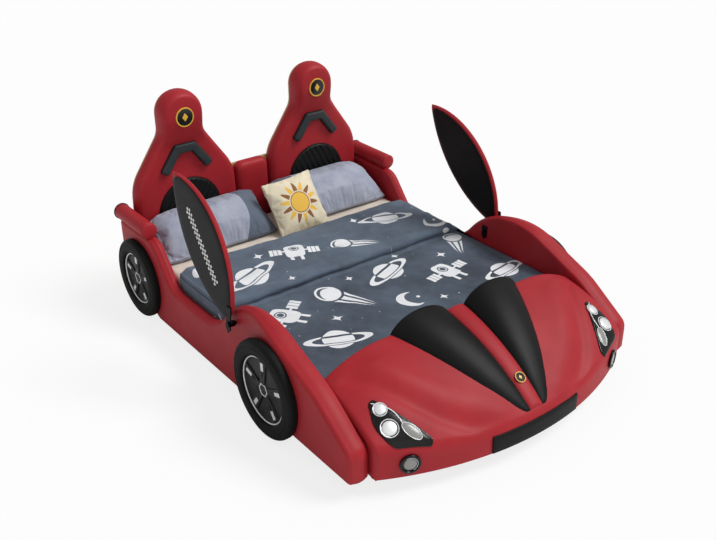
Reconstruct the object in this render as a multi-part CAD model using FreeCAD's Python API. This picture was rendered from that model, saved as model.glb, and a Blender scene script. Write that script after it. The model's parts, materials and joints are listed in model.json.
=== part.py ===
"""Upholstered children's bed in the shape of a sports car, for two sleepers side by side.

Millimetres. +Y runs from the nose to the headboard, +Z is up, and +X is the right-hand side of someone who
looks from the nose to the headboard. The construction is drawn with Y = 0 at the front end of the side panels
and Z = 0 at their bottom edge, and save() sets it down on the floor, centred.
"""

import FreeCAD, Part
import math
import os

V = FreeCAD.Vector

# ---------------------------------------------------------------- driving sizes
# general
SEAT_GAP = 0.3                 # clearance between seated pieces
LEATHER_ROUND = 18.0           # rounding of padded edges
GROUND_GAP = 75.0              # floor to the bottom edge of the side panels

# mattress bay and side panels
INNER_HALF_WIDTH = 760.0       # middle plane to the inner face of a side panel
PANEL_THICK = 60.0             # padded side panel
PANEL_LENGTH = 2155.0
FENDER_SWELL = 40.0            # extra padding outside the front fender
FENDER_FULL_TO = 560.0         # the swell keeps its full thickness to here
FENDER_END = 880.0             # and has run out here
FENDER_EASE = 400.0            # radius of the swell's bend in plan
FENDER_RUNOUT = 4.0            # thickness left where the swell ends
DIP_HEIGHT = 195.0             # entry dip above the panel's bottom edge
HAUNCH_HEIGHT = 412.0          # rear haunch above the panel's bottom edge
HUMP_CORNER = (832.0, 549.0, 440.0)      # fender hump: corner Y, Z and rounding radius
BROW_CORNER = (240.0, 312.0, 500.0)      # where the fender line eases towards the hump
NOSE_CORNER = (0.0, 150.0, 60.0)         # top of the panel's front end
DIP_FRONT = 1130.0             # corner Y where the hump's rear slope meets the dip
DIP_REAR = PANEL_LENGTH - 569.0          # corner Y where the dip turns up to the haunch
HAUNCH_FRONT = PANEL_LENGTH - 387.0      # corner Y where the slope meets the haunch
DIP_FRONT_ROUND = 280.0
DIP_REAR_ROUND = 150.0
HAUNCH_ROUND = 120.0
SILL_DROP = 57.0               # the panel's lower edge drops this far between the wheels
SILL_FRONT = (40.0, 150.0)     # the drop starts and ends this far behind the front wheel's middle
SILL_REAR = (150.0, 40.0)      # and ends and starts this far ahead of the rear wheel's middle
SILL_ROUND = 60.0

# armrest rolls on the haunches
ROLL_RADIUS = 52.0
ROLL_LENGTH = 343.0
ROLL_FRONT = PANEL_LENGTH - ROLL_LENGTH
ROLL_OUTWARD = 12.0            # roll axis outside the panel's middle plane
ROLL_FLAT = 0.5                # depth cut flat where the roll lies on the panel
ROLL_CAP_THICK = 14.0
ROLL_CAP_ROUND = 10.0

# wheels
FRONT_WHEEL_RADIUS = 238.0
REAR_WHEEL_RADIUS = 218.0
WHEEL_FLOOR_GAP = 3.0
TYRE_THICK = 45.0
TYRE_ROUND = 20.0
FRONT_WHEEL_Y = 594.0
REAR_WHEEL_Y = PANEL_LENGTH - 223.0
TYRE_WALL = 64.0               # tyre outside the rim, seen from the side
RIM_THICK = 12.0
RIM_BACK = 4.0                 # closed back of the wheel cover
HUB_RADIUS = 36.0
SPOKES = 5
SPOKE_ROOT = 44.0              # spoke width at the hub
SPOKE_TIP = 62.0               # spoke width at the rim
RIM_WALL = 14.0
TRIM_WIDTH = 6.0               # bright ring round the wheel cover
TRIM_THICK = 4.0

# headboard and seats
BOARD_THICK = 18.0             # plywood of headboard and front board
SEAT_SIDE_GAP = 3.0            # seat to side panel
SEAT_THICK = 75.0
SEAT_TOP = 1078.0
HEAD_HALF = 126.0              # half width of the headrest
HEAD_FLAT = 4.0                # half width of the flat on top of the headrest
HEAD_SWELL = 35.0              # the headrest stands this far before the seat's face
HEAD_BOTTOM = 862.0            # where that swell begins
HEAD_ROUND = 60.0              # rounding of its lower corners
NECK_Z = 848.0
NECK_ROUND = 110.0
SHOULDER_HALF = 306.0
SHOULDER_Z = 590.0
SHOULDER_ROUND = 240.0
SEAT_BASE_HALF = 326.0
SEAT_BASE_Z = 60.0
SEAT_ROUND = 30.0
BOARD_INSET = 12.0             # plywood shows this much less than the padding
HEADBOARD_Z = 410.0
BRIDGE_TOP = 578.0
BRIDGE_ROUND = 45.0
BRIDGE_FOOT_ROUND = 10.0
BRIDGE_EDGE = 24.0
BRIDGE_RECESS = 12.0           # bridge block stands behind the seats' front faces
CHEVRON_END = (158.0, 655.0)   # outer end: half span, height
CHEVRON_TOP = (60.0, 788.0)
CHEVRON_BAND = 42.0
CHEVRON_THICK = 20.0
CHEVRON_ROUND = 6.0            # rounding of the outline at the bends
CHEVRON_END_ROUND = 12.0       # and at the ends
CHEVRON_EDGE = 5.0             # rounding of the front edge
INSERT_CENTRE_Z = 395.0
INSERT_RADIUS = 190.0
INSERT_BOTTOM = 300.0
INSERT_THICK = 16.0
RIB_PITCH = 34.0               # sewn channels across the seat insert
RIB_DEPTH = 5.0
RIB_LEAN = 28.0                # degrees that the channels lean from upright
BADGE_Z = 945.0
BADGE_RADIUS = 54.0
BADGE_THICK = 5.0
BADGE_EDGE = 2.0

# bonnet
BONNET_REACH = 228.0           # nose, ahead of the side panels, on the middle plane
BONNET_SETBACK = 190.0         # how far the nose line falls back at the sides
BONNET_BOTTOM = 12.0
NOSE_TOP_MID = 114.0           # top of the upright nose face on the middle plane
NOSE_TOP_SIDE = 165.0          # and at the side panels
BONNET_REAR = 335.0
BONNET_REAR_Z = 390.0
SHOULDER_FROM = 450.0          # the rear edge drops from here outwards
SHOULDER_DROP = 92.0
BONNET_SWELL_MID = 46.0        # crown of the bonnet between nose and rear edge, on the middle plane
BONNET_SWELL_SIDE = 26.0       # and at the side panels
NOSE_ROUND = 34.0
BONNET_WALL = 25.0
WEDGE_REAR_OUTER = 384.0
WEDGE_REAR_INNER = 52.0
WEDGE_TIP_X = 47.0
WEDGE_TIP_HALF = 9.0
WEDGE_SPREAD = 0.75            # exponent by which a wedge's outer edge runs out from its tip
WEDGE_HEIGHT = 74.0
WEDGE_TIP_HEIGHT = 4.0
WEDGE_SETBACK = 6.0            # wedges stop this far before the bonnet's rear edge
TIP_SETBACK = 24.0             # and this far behind the foremost point of the nose
HUMP_SINK = 30.0               # depth below the skin from which a hump is cut
RIDGE_HEIGHT = 12.0
RIDGE_GAP = 2.0                # ridge to wedge
BAND_HALF = 262.0
BAND_THICK = 8.0
BONNET_BADGE_Y = -95.0
BONNET_BADGE_RADIUS = 27.0
BONNET_BADGE_THICK = 4.0
BONNET_BADGE_SINK = 12.0       # length of the badge's foot that the ridge shapes

# lamps
LAMP_THICK = 7.0
LAMP_REAR = (92.7, 137.0, 16.0)          # corners in plan: in from the bonnet's side, Y, rounding
LAMP_SIDE = (46.7, 24.0, 60.0)
LAMP_OUTER = (60.7, 24.0)                # corners on the nose line: in from the side, rounding
LAMP_INNER = (256.7, 9.0)
LAMP_SETBACK = 6.0                       # those two corners stand this far behind the nose line
LAMP_BOTTOM = 118.0                      # the pod doesn't reach down the upright nose face
REFLECTOR_RAISE = 4.0
UPPER_REFLECTOR = (104.7, 40.0, 30.0)    # in from the side, Y, radius in plan
LOWER_REFLECTOR = (101.7, -30.0, 34.0)
LENS_SPOT = (178.7, -67.0, 27.0)
FOG_INSET = 132.7              # in from the bonnet's side
FOG_Z = 78.0
FOG_RADIUS = 46.0
FOG_THICK = 12.0
FOG_EDGE = 4.0
FOG_STANDOFF = 0.9             # clears the curve of the nose behind its flat back

# doors
DOOR_PIVOT_Y = 915.0
DOOR_PIVOT_Z = 338.0
DOOR_TIP = (515.0, 577.0)      # leaf's far point from the pivot: along Y, up
DOOR_START = 34.0              # leaf starts this far along its length from the pivot
DOOR_FRONT_SAG = 196.0
DOOR_REAR_SAG = 126.0
DOOR_THICK = 30.0
DOOR_PAD_THICK = 5.0
DOOR_PAD_INSET = 5.0
DOOR_PANEL_GAP = 9.0
DOOR_SPLAY = 2.0               # degrees, rear edge outwards
DOOR_LEAN = 5.4                # degrees, top edge inwards
STRAP_WIDTH = 36.0
STRAP_THICK = 5.0
STRAP_UP = 88.0                # strap above the pivot
STRAP_DOWN = 44.0              # strap below the pivot, to its point
PIN_RADIUS = 8.0
PIN_HEAD_RADIUS = 14.0
PIN_HEAD_THICK = 6.0
PIN_CLEARANCE = 0.05
PIN_NUT_LENGTH = 14.0          # thread that stands inside the bed
PIN_HEAD_GAP = 0.5             # play of the leaf under the pin's head
HUB_GAP = 3.0                  # hub stands clear of the tilted panel face
BACKPLATE_UP = 34.0            # backplate above the pivot
BACKPLATE_ROUND = 4.0
HUB_WALL = 7.0

# frame inside
MATTRESS_SIDE_GAP = 10.0       # mattress to side panel
MATTRESS_FOOT = 160.0
MATTRESS_HEAD_GAP = 5.4        # mattress to the seats' inserts
MATTRESS_THICK = 180.0
MATTRESS_TOP = 245.0
MATTRESS_ROUND = 45.0
SLAT_WIDTH = 70.0
SLAT_THICK = 15.0
SLAT_PITCH = 145.0
LEDGE_WIDTH = 35.0
LEDGE_HEIGHT = 40.0
BEAM_WIDTH = 60.0
LEG_SIZE = 55.0
LEG_SETBACK = 150.0
FRONT_BOARD_Y = 20.0
BRACKET_SIZE = 50.0
BRACKET_THICK = 3.0
BRACKET_HEIGHT = 90.0
BRACKET_LIFT = 10.0            # brackets start this far above the slats
BOLT_HEAD_RADIUS = 8.0
BOLT_HEAD_THICK = 4.0
BOLT_SPREAD = 50.0
BOLT_SETBACK = 30.0            # bolts from the bracket's corner

# bedding
DUVET_SIDE_GAP = 8.0           # duvet to side panel
DUVET_THICK = 24.0
DUVET_FOOT = 300.0
DUVET_HEAD_GAP = 433.4         # fold at the head end to the seats' inserts
DUVET_FLAP_LENGTH = 504.0
DUVET_FLAP_THICK = 22.0
DUVET_FOLD_ROUND = 20.0
DUVET_FOOT_ROUND = 8.0
DUVET_HEM_LEAN = 6.0           # the flap's free edge leans this much
DUVET_HEM_ROUND = 3.0
PILLOW_WIDTH = 690.0
PILLOW_DEPTH = 350.0
PILLOW_THICK = 150.0
PILLOW_SIDE_GAP = 23.0         # pillow to side panel
PILLOW_TILT = 30.0
PILLOW_LEAN_GAP = 4.0          # pillow's rear edge to the seat's insert
CUSHION_WIDTH = 330.0
CUSHION_HEIGHT = 320.0
CUSHION_THICK = 105.0
CUSHION_X = 80.0
CUSHION_SETDOWN = 355.4        # it is set down this far ahead of the seats and then slid back
CUSHION_TILT = 58.0
SEAM_THICK = 12.0              # thickness of a pillow at its end seams
SIDE_DRAW = 0.06               # share by which a pillow's long sides are drawn in
LEAN_STEPS = 8                 # steps in which the cushion is slid against a pillow

# ---------------------------------------------------------------- sizes that follow
PANEL_OUTER = INNER_HALF_WIDTH + PANEL_THICK
FENDER_OUTER = PANEL_OUTER + FENDER_SWELL
PANEL_MIDDLE = INNER_HALF_WIDTH + PANEL_THICK / 2
BOARD_FRONT = PANEL_LENGTH - BOARD_THICK
SEAT_REAR = BOARD_FRONT - SEAT_GAP
SEAT_FRONT = SEAT_REAR - SEAT_THICK
MATTRESS_BOTTOM = MATTRESS_TOP - MATTRESS_THICK
SLAT_TOP = MATTRESS_BOTTOM - SEAT_GAP
LEDGE_TOP = SLAT_TOP - SLAT_THICK
BONNET_HALF = INNER_HALF_WIDTH - SEAT_GAP
NOSE_Y = -BONNET_REACH - BAND_THICK
MIDDLE_Y = (NOSE_Y + PANEL_LENGTH) / 2
DUVET_TOP = MATTRESS_TOP + SEAT_GAP + DUVET_THICK
INSERT_FRONT = SEAT_FRONT - SEAT_GAP - INSERT_THICK
SEAT_CENTRE = INNER_HALF_WIDTH - SEAT_SIDE_GAP - SEAT_BASE_HALF
MATTRESS_HALF = INNER_HALF_WIDTH - MATTRESS_SIDE_GAP
MATTRESS_HEAD = INSERT_FRONT - MATTRESS_HEAD_GAP
DUVET_HALF = INNER_HALF_WIDTH - DUVET_SIDE_GAP
DUVET_FOLD = INSERT_FRONT - DUVET_HEAD_GAP
DUVET_FLAP = DUVET_FOLD - DUVET_FLAP_LENGTH
PILLOW_X = INNER_HALF_WIDTH - PILLOW_SIDE_GAP - PILLOW_WIDTH / 2
DOOR_LENGTH = math.hypot(*DOOR_TIP)
DOOR_SLOPE = math.atan2(DOOR_TIP[1], DOOR_TIP[0])


# ---------------------------------------------------------------- helpers
def save(name, shapes):
    """Set one node down on the floor, centred, and write it."""
    solids = shapes if isinstance(shapes, list) else [shapes]
    shape = solids[0] if len(solids) == 1 else Part.makeCompound(solids)
    shape = shape.copy()
    shape.translate(V(0, -MIDDLE_Y, GROUND_GAP))
    shape.exportStep("parts/%s.step" % name)


def mirrored(shape):
    """The same piece on the other side of the middle plane."""
    return shape.mirror(V(0, 0, 0), V(1, 0, 0))


def save_pair(name, shape_right):
    """A right-hand (+X) piece and its mirror image."""
    save(name + "_right", shape_right)
    save(name + "_left", mirrored(shape_right))


def rounded_outline(corners, point_at):
    """A closed wire of lines and tangent arcs through corners (a, b, radius), placed by point_at(a, b)."""
    edges = []
    ends = []
    count = len(corners)
    for i, (a, b, radius) in enumerate(corners):
        before = V(corners[i - 1][0], corners[i - 1][1], 0)
        here = V(a, b, 0)
        after = V(corners[(i + 1) % count][0], corners[(i + 1) % count][1], 0)
        d_in = (before - here).normalize()
        d_out = (after - here).normalize()
        half = d_in.getAngle(d_out) / 2
        if radius <= 0:
            ends.append((here, None, here))
            continue
        run = radius / math.tan(half)
        middle = here + (d_in + d_out).normalize() * (radius / math.sin(half) - radius)
        ends.append((here + d_in * run, middle, here + d_out * run))
    for i, (start, middle, stop) in enumerate(ends):
        if middle is not None:
            arc = Part.Arc(point_at(start), point_at(middle), point_at(stop))
            edges.append(arc.toShape())
        following = ends[(i + 1) % count][0]
        if (following - stop).Length > 1e-6:
            edges.append(Part.LineSegment(point_at(stop), point_at(following)).toShape())
    return Part.Wire(edges)


def side_plate(corners, x_from, x_to):
    """A plate with the outline given in (Y, Z), between two planes of X."""
    wire = rounded_outline(corners, lambda p: V(x_from, p.x, p.y))
    return Part.Face(wire).extrude(V(x_to - x_from, 0, 0))


def front_plate(corners, y_from, y_to):
    """A plate with the outline given in (X, Z), between two planes of Y."""
    wire = rounded_outline(corners, lambda p: V(p.x, y_from, p.y))
    return Part.Face(wire).extrude(V(0, y_to - y_from, 0))


def plan_plate(corners, z_from, z_to):
    """A plate with the outline given in (X, Y), between two planes of Z."""
    wire = rounded_outline(corners, lambda p: V(p.x, p.y, z_from))
    return Part.Face(wire).extrude(V(0, 0, z_to - z_from))


def block(low, high):
    """A box from its lowest to its highest corner."""
    size = [high[i] - low[i] for i in range(3)]
    return Part.makeBox(size[0], size[1], size[2], V(*low))


def edges_on_plane(shape, axis, value):
    """The edges of shape that lie wholly in one plane square to an axis."""
    found = []
    for edge in shape.Edges:
        places = [getattr(vertex.Point, axis) for vertex in edge.Vertexes]
        if all(abs(place - value) < 1e-4 for place in places):
            found.append(edge)
    return found


def disc(radius, thick, x_from, y, z):
    """A disc square to X."""
    return Part.makeCylinder(radius, thick, V(x_from, y, z), V(1, 0, 0))


# ---------------------------------------------------------------- side panels
def panel_corners():
    """Outline of a side panel in (Y, Z): fender hump, entry dip and haunch."""
    base_round = LEATHER_ROUND
    return [
        (0.0, 0.0, base_round),
        NOSE_CORNER,
        BROW_CORNER,
        HUMP_CORNER,
        (DIP_FRONT, DIP_HEIGHT, DIP_FRONT_ROUND),
        (DIP_REAR, DIP_HEIGHT, DIP_REAR_ROUND),
        (HAUNCH_FRONT, HAUNCH_HEIGHT, HAUNCH_ROUND),
        (PANEL_LENGTH, HAUNCH_HEIGHT, base_round),
        (PANEL_LENGTH, 0.0, base_round),
    ]


def sill_corners():
    """The panel's lower edge between the wheels, which the fender's padding doesn't share."""
    return [
        (REAR_WHEEL_Y - SILL_REAR[1], 0.0, SILL_ROUND),
        (REAR_WHEEL_Y - SILL_REAR[0], -SILL_DROP, SILL_ROUND),
        (FRONT_WHEEL_Y + SILL_FRONT[1], -SILL_DROP, SILL_ROUND),
        (FRONT_WHEEL_Y + SILL_FRONT[0], 0.0, SILL_ROUND),
    ]


def side_panel():
    """Padded side panel, its long edges rounded, drilled for the door's pivot."""
    panel = side_plate(panel_corners() + sill_corners(), INNER_HALF_WIDTH, PANEL_OUTER)
    panel = panel.makeFillet(LEATHER_ROUND, edges_on_plane(panel, "x", PANEL_OUTER))
    inner = edges_on_plane(panel, "x", INNER_HALF_WIDTH)
    panel = panel.makeFillet(LEATHER_ROUND, inner)
    return panel.cut(door_pin_bore())


def fender_pad():
    """The padding that swells the fender outwards behind the front wheel."""
    outline = side_plate(panel_corners(), PANEL_OUTER - LEATHER_ROUND, FENDER_OUTER)
    swell = plan_plate(
        [
            (PANEL_OUTER + SEAT_GAP, -1.0, 0),
            (FENDER_OUTER, -1.0, 0),
            (FENDER_OUTER, FENDER_FULL_TO, FENDER_EASE),
            (PANEL_OUTER + SEAT_GAP + FENDER_RUNOUT, FENDER_END, 0),
            (PANEL_OUTER + SEAT_GAP, FENDER_END, 0),
        ],
        -1.0,
        HUMP_CORNER[1],
    )
    pad = outline.common(swell).Solids[0]
    rim = [e for e in edges_on_plane(pad, "x", FENDER_OUTER) if e.Length > 1.0]
    return pad.makeFillet(LEATHER_ROUND, rim)


def roll_bar(start, stop):
    """A length of round bolster over the haunch, not yet cut flat."""
    axis_z = HAUNCH_HEIGHT + SEAT_GAP + ROLL_RADIUS - ROLL_FLAT
    start_point = V(PANEL_MIDDLE + ROLL_OUTWARD, start, axis_z)
    return Part.makeCylinder(ROLL_RADIUS, stop - start, start_point, V(0, 1, 0))


def cut_flat_on_haunch(shape):
    """Cut a bolster off just above the haunch, so that it lies on it."""
    box = shape.BoundBox
    return shape.cut(block((box.XMin, box.YMin, box.ZMin - 1), (box.XMax, box.YMax, HAUNCH_HEIGHT + SEAT_GAP)))


def armrest_roll():
    """Bolster on the haunch, cut flat a little where it lies on the panel."""
    return cut_flat_on_haunch(roll_bar(ROLL_FRONT + ROLL_CAP_THICK + SEAT_GAP, PANEL_LENGTH))


def roll_end_cap():
    """Sewn round end of a bolster."""
    cap = roll_bar(ROLL_FRONT, ROLL_FRONT + ROLL_CAP_THICK)
    return cut_flat_on_haunch(cap.makeFillet(ROLL_CAP_ROUND, edges_on_plane(cap, "y", ROLL_FRONT)))


# ---------------------------------------------------------------- wheels
def wheel_height(radius):
    """Height of a wheel's middle, the wheel standing just clear of the floor."""
    return radius + WHEEL_FLOOR_GAP - GROUND_GAP


def tyre(face_x, y, radius):
    """Padded tyre disc on the outside of a panel."""
    body = disc(radius, TYRE_THICK, face_x + SEAT_GAP, y, wheel_height(radius))
    rim = edges_on_plane(body, "x", face_x + SEAT_GAP + TYRE_THICK)
    return body.makeFillet(TYRE_ROUND, rim)


def wheel_cover(face_x, y, radius):
    """Moulded five-spoke cover with a closed back."""
    x = face_x + SEAT_GAP + TYRE_THICK + SEAT_GAP
    z = wheel_height(radius)
    rim = radius - TYRE_WALL
    back = disc(rim, RIM_BACK, x, y, z)
    wall = disc(rim, RIM_THICK, x, y, z)
    wall = wall.cut(disc(rim - RIM_WALL, RIM_THICK + 2, x - 1, y, z))
    hub = disc(HUB_RADIUS, RIM_THICK, x, y, z)
    pieces = [wall, hub]
    reach = rim - RIM_WALL / 2
    for i in range(SPOKES):
        spoke = side_plate(
            [
                (y - SPOKE_ROOT / 2, z, 0),
                (y + SPOKE_ROOT / 2, z, 0),
                (y + SPOKE_TIP / 2, z + reach, 0),
                (y - SPOKE_TIP / 2, z + reach, 0),
            ],
            x,
            x + RIM_THICK,
        )
        spoke.rotate(V(x, y, z), V(1, 0, 0), 360.0 / SPOKES * i)
        pieces.append(spoke)
    cover = back
    for piece in pieces:
        cover = cover.fuse(piece)
    return cover.removeSplitter().Solids[0]


def trim_ring(face_x, y, radius):
    """Bright ring on the rim of a wheel cover."""
    x = face_x + SEAT_GAP + TYRE_THICK + SEAT_GAP + RIM_THICK + SEAT_GAP
    z = wheel_height(radius)
    rim = radius - TYRE_WALL
    ring = disc(rim, TRIM_THICK, x, y, z)
    return ring.cut(disc(rim - TRIM_WIDTH, TRIM_THICK + 2, x - 1, y, z))


# ---------------------------------------------------------------- headboard and seats
def seat_corners(centre, inset):
    """Half-round headrest, neck, shoulders and upright sides of a bucket seat in (X, Z)."""
    head = HEAD_HALF - inset
    shoulder = SHOULDER_HALF - inset
    base = SEAT_BASE_HALF - inset
    top = SEAT_TOP - inset
    right = [
        (head, top, head - HEAD_FLAT),
        (head, NECK_Z, NECK_ROUND),
        (shoulder, SHOULDER_Z, SHOULDER_ROUND),
        (base, SEAT_BASE_Z + inset, LEATHER_ROUND),
    ]
    left = [(-x, z, radius) for x, z, radius in reversed(right)]
    return [(centre + x, z, radius) for x, z, radius in right + left]


def seat_pad(centre):
    """Thick padded seat back."""
    pad = front_plate(seat_corners(centre, 0.0), SEAT_FRONT, SEAT_REAR)
    pad = pad.makeFillet(SEAT_ROUND, edges_on_plane(pad, "y", SEAT_FRONT))
    return pad.fuse(headrest(centre)).removeSplitter().Solids[0]


def headrest(centre):
    """The thicker padding of the head."""
    right = [(HEAD_HALF, SEAT_TOP, HEAD_HALF - HEAD_FLAT), (HEAD_HALF, HEAD_BOTTOM, HEAD_ROUND)]
    left = [(-x, z, radius) for x, z, radius in reversed(right)]
    corners = [(centre + x, z, radius) for x, z, radius in right + left]
    front = SEAT_FRONT - HEAD_SWELL
    pad = front_plate(corners, front, SEAT_FRONT + SEAT_ROUND)
    return pad.makeFillet(SEAT_ROUND, edges_on_plane(pad, "y", front))


def seat_insert(centre):
    """Half-round black panel with slanted sewn channels, on the seat's face."""
    front = INSERT_FRONT
    middle = V(centre, front, INSERT_CENTRE_Z)
    round_plate = Part.makeCylinder(INSERT_RADIUS, INSERT_THICK, middle, V(0, 1, 0))
    trim = block(
        (centre - INSERT_RADIUS, front - 1, INSERT_CENTRE_Z - INSERT_RADIUS - 1),
        (centre + INSERT_RADIUS, SEAT_FRONT, INSERT_BOTTOM),
    )
    plate = round_plate.cut(trim)
    count = int(2 * INSERT_RADIUS / RIB_PITCH) + 1
    half_groove = RIB_DEPTH
    for i in range(count):
        x = centre + (i - (count - 1) / 2.0) * RIB_PITCH
        groove = Part.Face(
            Part.makePolygon(
                [
                    V(x - half_groove, front - 0.01, INSERT_CENTRE_Z),
                    V(x + half_groove, front - 0.01, INSERT_CENTRE_Z),
                    V(x, front + RIB_DEPTH, INSERT_CENTRE_Z),
                    V(x - half_groove, front - 0.01, INSERT_CENTRE_Z),
                ]
            )
        ).extrude(V(0, 0, 4 * INSERT_RADIUS))
        groove.translate(V(0, 0, -2 * INSERT_RADIUS))
        groove.rotate(V(x, front, INSERT_CENTRE_Z), V(0, 1, 0), -RIB_LEAN)
        plate = plate.cut(groove)
    return plate


def seat_chevron(centre):
    """Bent grip pad below the headrest."""
    end_x, end_z = CHEVRON_END
    top_x, top_z = CHEVRON_TOP
    slope = math.atan2(top_z - end_z, end_x - top_x)
    step_x = CHEVRON_BAND * math.sin(slope)
    step_z = CHEVRON_BAND * math.cos(slope)
    under_x = top_x - CHEVRON_BAND * math.tan(slope / 2)
    corners = [
        (top_x, top_z, CHEVRON_ROUND),
        (end_x, end_z, CHEVRON_END_ROUND),
        (end_x - step_x, end_z - step_z, CHEVRON_END_ROUND),
        (under_x, top_z - CHEVRON_BAND, CHEVRON_ROUND),
        (-under_x, top_z - CHEVRON_BAND, CHEVRON_ROUND),
        (-end_x + step_x, end_z - step_z, CHEVRON_END_ROUND),
        (-end_x, end_z, CHEVRON_END_ROUND),
        (-top_x, top_z, CHEVRON_ROUND),
    ]
    corners = [(centre + x, z, radius) for x, z, radius in corners]
    front = SEAT_FRONT - SEAT_GAP - CHEVRON_THICK
    pad = front_plate(corners, front, SEAT_FRONT - SEAT_GAP)
    return pad.makeFillet(CHEVRON_EDGE, edges_on_plane(pad, "y", front))


def seat_badge(centre):
    """Plain round badge on the headrest."""
    front = SEAT_FRONT - HEAD_SWELL - SEAT_GAP - BADGE_THICK
    badge = Part.makeCylinder(BADGE_RADIUS, BADGE_THICK, V(centre, front, BADGE_Z), V(0, 1, 0))
    return badge.makeFillet(BADGE_EDGE, edges_on_plane(badge, "y", front))


def bridge_pad():
    """Padded block that closes the headboard between the two seats."""
    half = SEAT_CENTRE - SEAT_BASE_HALF - SEAT_GAP
    front = SEAT_FRONT + BRIDGE_RECESS
    top_round = min(BRIDGE_ROUND, 0.9 * half)
    pad = front_plate(
        [
            (half, BRIDGE_TOP, top_round),
            (half, SEAT_BASE_Z, BRIDGE_FOOT_ROUND),
            (-half, SEAT_BASE_Z, BRIDGE_FOOT_ROUND),
            (-half, BRIDGE_TOP, top_round),
        ],
        front,
        SEAT_REAR,
    )
    return pad.makeFillet(min(BRIDGE_EDGE, 0.8 * top_round), edges_on_plane(pad, "y", front))


def headboard():
    """One plywood board: a low wall between the panels and the outline of both seats."""
    board = block(
        (-INNER_HALF_WIDTH + SEAT_GAP, BOARD_FRONT, BONNET_BOTTOM),
        (INNER_HALF_WIDTH - SEAT_GAP, PANEL_LENGTH, HEADBOARD_Z),
    )
    for centre in (-SEAT_CENTRE, SEAT_CENTRE):
        board = board.fuse(front_plate(seat_corners(centre, BOARD_INSET), BOARD_FRONT, PANEL_LENGTH))
    half = SEAT_CENTRE - SHOULDER_HALF + 2 * BOARD_INSET
    bridge = block((-half, BOARD_FRONT, BONNET_BOTTOM), (half, PANEL_LENGTH, BRIDGE_TOP - BOARD_INSET))
    return board.fuse(bridge).removeSplitter().Solids[0]


# ---------------------------------------------------------------- bonnet
def nose_line(x):
    """Y of the bonnet's front face at a distance x from the middle plane: one flat arc in plan."""
    radius = (BONNET_HALF ** 2 + BONNET_SETBACK ** 2) / (2 * BONNET_SETBACK)
    return radius - BONNET_REACH - math.sqrt(radius ** 2 - x ** 2)


def nose_top(x):
    """Height at which the upright nose face turns back into the bonnet."""
    return NOSE_TOP_MID + (NOSE_TOP_SIDE - NOSE_TOP_MID) * (x / BONNET_HALF) ** 2


def rear_top(x):
    """Height of the bonnet's rear edge."""
    beyond = max(0.0, abs(x) - SHOULDER_FROM) / (BONNET_HALF - SHOULDER_FROM)
    return BONNET_REAR_Z - SHOULDER_DROP * beyond ** 2


def bonnet_swell(x):
    """Rise of the bonnet's long arc over its chord."""
    return BONNET_SWELL_MID + (BONNET_SWELL_SIDE - BONNET_SWELL_MID) * (x / BONNET_HALF) ** 2


def bonnet_section(x, lift, rear, bottom):
    """Closed outline of the bonnet block at one X, its skin moved outwards by lift."""
    y_front = nose_line(x)
    z_front = nose_top(x)
    run = BONNET_REAR - y_front
    rise = rear_top(x) - z_front
    chord = math.hypot(run, rise)
    slope = math.atan2(rise, run) + 2 * math.atan(2 * bonnet_swell(x) / chord)
    rear_slope = 2 * math.atan2(rise, run) - slope
    corner_lift = lift * math.tan((math.pi / 2 - slope) / 2)
    corner = V(x, y_front - lift, z_front + corner_lift)
    normal = V(0, -rise, run).normalize()
    chord_middle = V(x, (y_front + BONNET_REAR) / 2, (z_front + rear_top(x)) / 2)
    middle = chord_middle + normal * (bonnet_swell(x) + lift)
    back_z = rear_top(x) + lift / math.cos(rear_slope) + (rear - BONNET_REAR) * math.tan(rear_slope)
    back = V(x, rear, back_z)
    turn = math.pi / 2 - slope
    along = V(0, math.cos(slope), math.sin(slope))
    up_end = corner - V(0, 0, NOSE_ROUND)
    over_end = corner + along * NOSE_ROUND
    radius = NOSE_ROUND / math.tan(turn / 2)
    centre = up_end + V(0, radius, 0)
    bisector = (corner - centre).normalize()
    foot = V(x, y_front - lift, bottom)
    heel = V(x, rear, bottom)
    return Part.Wire(
        [
            Part.LineSegment(foot, up_end).toShape(),
            Part.Arc(up_end, centre + bisector * radius, over_end).toShape(),
            Part.Arc(over_end, middle, back).toShape(),
            Part.LineSegment(back, heel).toShape(),
            Part.LineSegment(heel, foot).toShape(),
        ]
    )


def bonnet_block(lift, half_width, rear, bottom):
    """Everything under the bonnet's skin, from one side to the other."""
    places = [-1.0, -0.84, -0.6, -0.3, 0.0, 0.3, 0.6, 0.84, 1.0]
    sections = [bonnet_section(place * half_width, lift, rear, bottom) for place in places]
    return Part.makeLoft(sections, True, False)


def bonnet_shell():
    """Upholstered skin of even thickness, open to the rear for the foot of the mattress."""
    outer = bonnet_block(0.0, BONNET_HALF, BONNET_REAR, BONNET_BOTTOM)
    inner = bonnet_block(-BONNET_WALL, PANEL_MIDDLE, BONNET_REAR + BONNET_WALL, BONNET_BOTTOM - BONNET_WALL)
    return outer.cut(inner).Solids[0]


def on_skin(prism, low, high):
    """A piece that lies on the bonnet between two lifts from its skin, cut out by a prism."""
    raised = bonnet_block(high, BONNET_HALF, BONNET_REAR, BONNET_BOTTOM)
    base = bonnet_block(low, BONNET_HALF, BONNET_REAR, BONNET_BOTTOM)
    return raised.common(prism).cut(base).Solids[0]


def skin_height(x, y):
    """Height of the bonnet's skin over a point of the plan, on its main arc."""
    y_front = nose_line(x)
    z_front = nose_top(x)
    run = BONNET_REAR - y_front
    rise = rear_top(x) - z_front
    chord = math.hypot(run, rise)
    swell = bonnet_swell(x)
    radius = (chord ** 2 / 4 + swell ** 2) / (2 * swell)
    slope = math.atan2(rise, run)
    middle_y = (y_front + BONNET_REAR) / 2 - math.sin(slope) * (swell - radius)
    middle_z = (z_front + rear_top(x)) / 2 + math.cos(slope) * (swell - radius)
    return middle_z + math.sqrt(max(radius ** 2 - (y - middle_y) ** 2, 0.0))


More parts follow.
